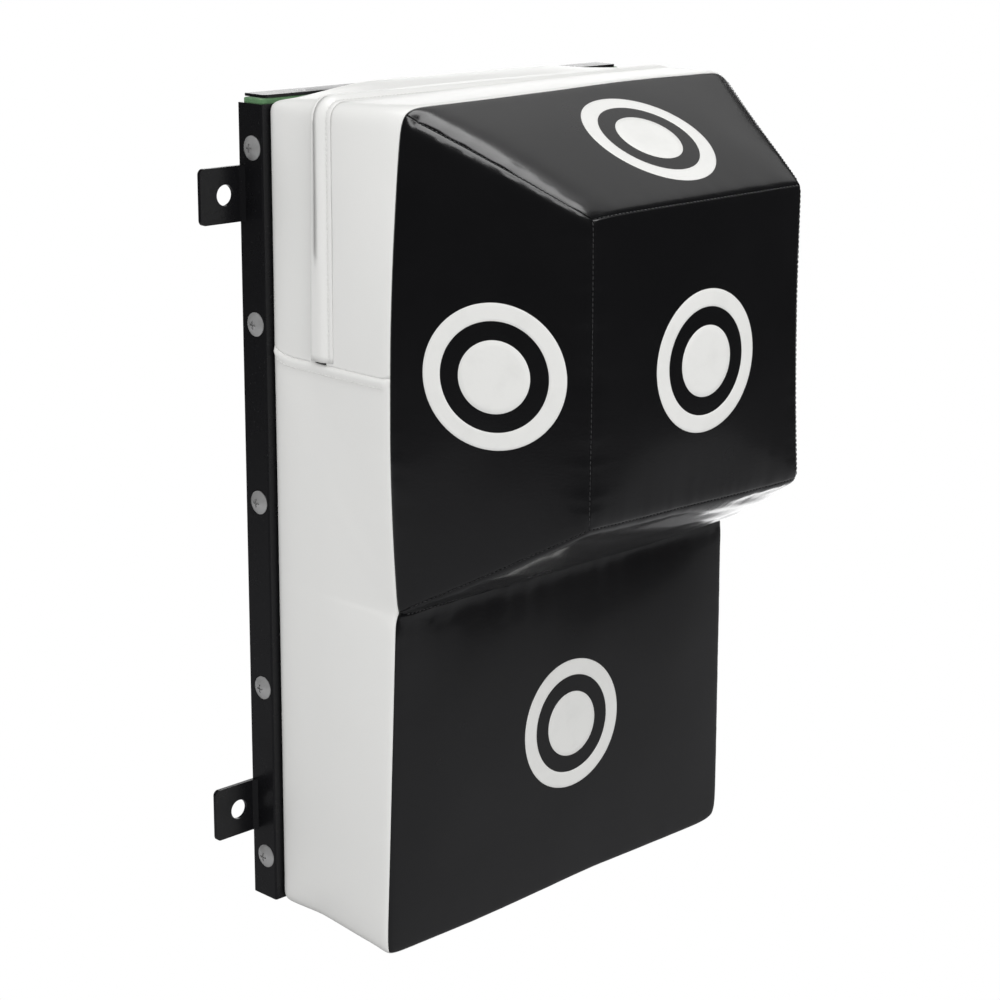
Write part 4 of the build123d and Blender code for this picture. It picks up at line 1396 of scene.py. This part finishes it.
# The stitched lines stop short of the corners, where several seams meet.
BARE_ENDS = 5
ridges = []
for name, seam in SEAMS.items():
    if name != "white_to_black":
        ridges += [line[BARE_ENDS:-BARE_ENDS] for line in seam_lines(seam[0], THREAD_LIFT)]
stitches("black_seam_stitches", ridges, black_thread, "black_cover")
TOPSTITCH_REAR, TOPSTITCH_END = 33.0, 7.0
topstitch = []
for side in (-1, 1):
    depths = np.linspace(TOPSTITCH_REAR, FRONT - TOPSTITCH_END, 40)
    starts = [(side * (HALF + 40), d, lap_height(side, d) - STITCH_DROP) for d in depths]
    topstitch.append(cover_line(starts, (-side, 0, 0), THREAD_LIFT))
stitches("lap_stitches", topstitch, white_thread, "white_cover")

FLAP_SEAM_DEPTH, FLAP_SEAM_LIFT = 86.5, 0.75
flap_line = []
for x, h, nx, nh in zip_path(start=LAP + 3):
    where = world([x + nx * FLAP_SEAM_LIFT, FLAP_SEAM_DEPTH, h + nh * FLAP_SEAM_LIFT])
    flap_line.append((Vector(where), Vector((nx, 0, nh))))
stitches("flap_stitches", [flap_line], white_thread, "white_cover")

COIL_PITCH, COIL_HALF_WIDTH, COIL_WIRE, COIL_SINK = 1.4, 0.62, 0.5, 1.5
for coil_name in ("rear", "front"):
    coil_low, coil_high = box_mm(f"zip_coil_{coil_name}")
    middle_depth = -(coil_low[1] + coil_high[1]) / 2
    coil_line = []
    for x, h, nx, nh in zip_path(start=coil_start + 0.8):
        where = world([x - nx * COIL_SINK, middle_depth, h - nh * COIL_SINK])
        coil_line.append((Vector(where), Vector((nx, 0, nh))))
    coil = run_nodes(
        f"zip_coil_{coil_name}_loops", line_object([coil_line]), coil_group,
        Pitch=COIL_PITCH * MM, Length=COIL_HALF_WIDTH * MM, Thickness=COIL_WIRE * MM,
        Material=MATERIALS["zip_coil"],
    )
    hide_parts(f"zip_coil_{coil_name}")
    dress(coil, "zip_coil")

# ------------------------------------------------------------------ studio
def light(name, where, at, size, power, lights=True, reflects=True):
    """Rectangular softbox. It can be left out of the lighting or out of the reflections."""
    data = bpy.data.lights.new(name, "AREA")
    data.shape = "RECTANGLE"
    data.size, data.size_y = size
    data.energy = power
    obj = link(name, data)
    obj.location = where
    obj.rotation_mode = "QUATERNION"
    obj.rotation_quaternion = (Vector(at) - Vector(where)).to_track_quat("-Z", "Y")
    obj.visible_camera = False
    obj.visible_diffuse = lights
    obj.visible_glossy = reflects


light("overhead_softbox", (1.0, 0.5, 1.8), (0.0, -0.1, 0.05), (2.0, 2.0), 5.8)
light("key_softbox", (-1.0, -1.2, 2.2), (0.0, -0.1, 0.0), (0.7, 0.7), 6.5)
light("front_softbox", (-0.5, -2.6, 0.1), (0.0, -0.1, 0.0), (0.8, 0.8), 14, reflects=False)
light("ridge_card", (-0.05, -0.25, 2.1), (-0.05, -0.15, 0.2), (1.5, 1.1), 19, lights=False)
light("low_card", (0.95, 0.6, -0.62), (0.1, -0.15, 0.1), (1.7, 1.4), 12, lights=False)
light("left_softbox", (-2.3, 0.9, -0.45), (-0.18, 0.0, -0.2), (0.5, 0.8), 8, reflects=False)
light("back_card", (2.3, 2.4, 0.75), (0.0, 0.0, 0.15), (2.6, 0.9), 16)

FLOOR_RADIUS, FLOOR_HEIGHT, FLOOR_TURNS = 2.65, -0.65, 96
floor_mesh = bpy.data.meshes.new("floor")
turns = [2 * math.pi * k / FLOOR_TURNS for k in range(FLOOR_TURNS)]
rim = [(FLOOR_RADIUS * math.cos(t), FLOOR_RADIUS * math.sin(t), FLOOR_HEIGHT) for t in turns]
floor_mesh.from_pydata(rim, [], [list(range(FLOOR_TURNS))])
floor = link("floor", floor_mesh)
floor_material, tree, shader, _ = new_material("pale_floor", (0.25, 0.25, 0.255), 0.8)
backdrop = add_node(tree, "ShaderNodeEmission", {"Color": (1, 1, 1, 1), "Strength": 1.0})
path = tree.nodes.new("ShaderNodeLightPath")
mix = tree.nodes.new("ShaderNodeMixShader")
tree.links.new(path.outputs["Is Camera Ray"], mix.inputs[0])
tree.links.new(shader.outputs[0], mix.inputs[1])
tree.links.new(backdrop.outputs[0], mix.inputs[2])
tree.links.new(mix.outputs[0], tree.nodes["Material Output"].inputs["Surface"])
floor_mesh.materials.append(floor_material)

studio = bpy.data.worlds.new("studio")
studio.use_nodes = True
bpy.context.scene.world = studio
tree = studio.node_tree
background = tree.nodes["Background"]
path = tree.nodes.new("ShaderNodeLightPath")
fill = math_node(tree, "ADD", math_node(tree, "MULTIPLY", path.outputs["Is Diffuse Ray"], 0.83), 0.03)
seen = math_node(tree, "MAXIMUM", fill, path.outputs["Is Camera Ray"])
tree.links.new(seen, background.inputs["Strength"])
background.inputs["Color"].default_value = (1, 1, 1, 1)
bpy.context.scene.view_settings.view_transform = "Standard"
bpy.context.scene.view_settings.look = "None"

# ------------------------------------------------------------------ camera
CAMERA_PLACE = (-1.2926, -1.3727, 0.4824)
yaw, pitch, roll = math.radians(44.9), math.radians(15.17), math.radians(0.36)
forward = Vector((math.sin(yaw) * math.cos(pitch), math.cos(yaw) * math.cos(pitch), -math.sin(pitch)))
level = Vector((math.cos(yaw), -math.sin(yaw), 0.0))
above = level.cross(forward)
right = level * math.cos(roll) + above * math.sin(roll)
up = right.cross(forward)
camera_data = bpy.data.cameras.new("camera")
camera_data.lens, camera_data.sensor_width = 89.1, 36.0
camera_data.clip_start, camera_data.clip_end = 0.05, 50.0
camera = link("camera", camera_data)
turn = Matrix((right, up, -forward)).transposed().to_4x4()
camera.matrix_world = Matrix.Translation(CAMERA_PLACE) @ turn
bpy.context.scene.camera = camera
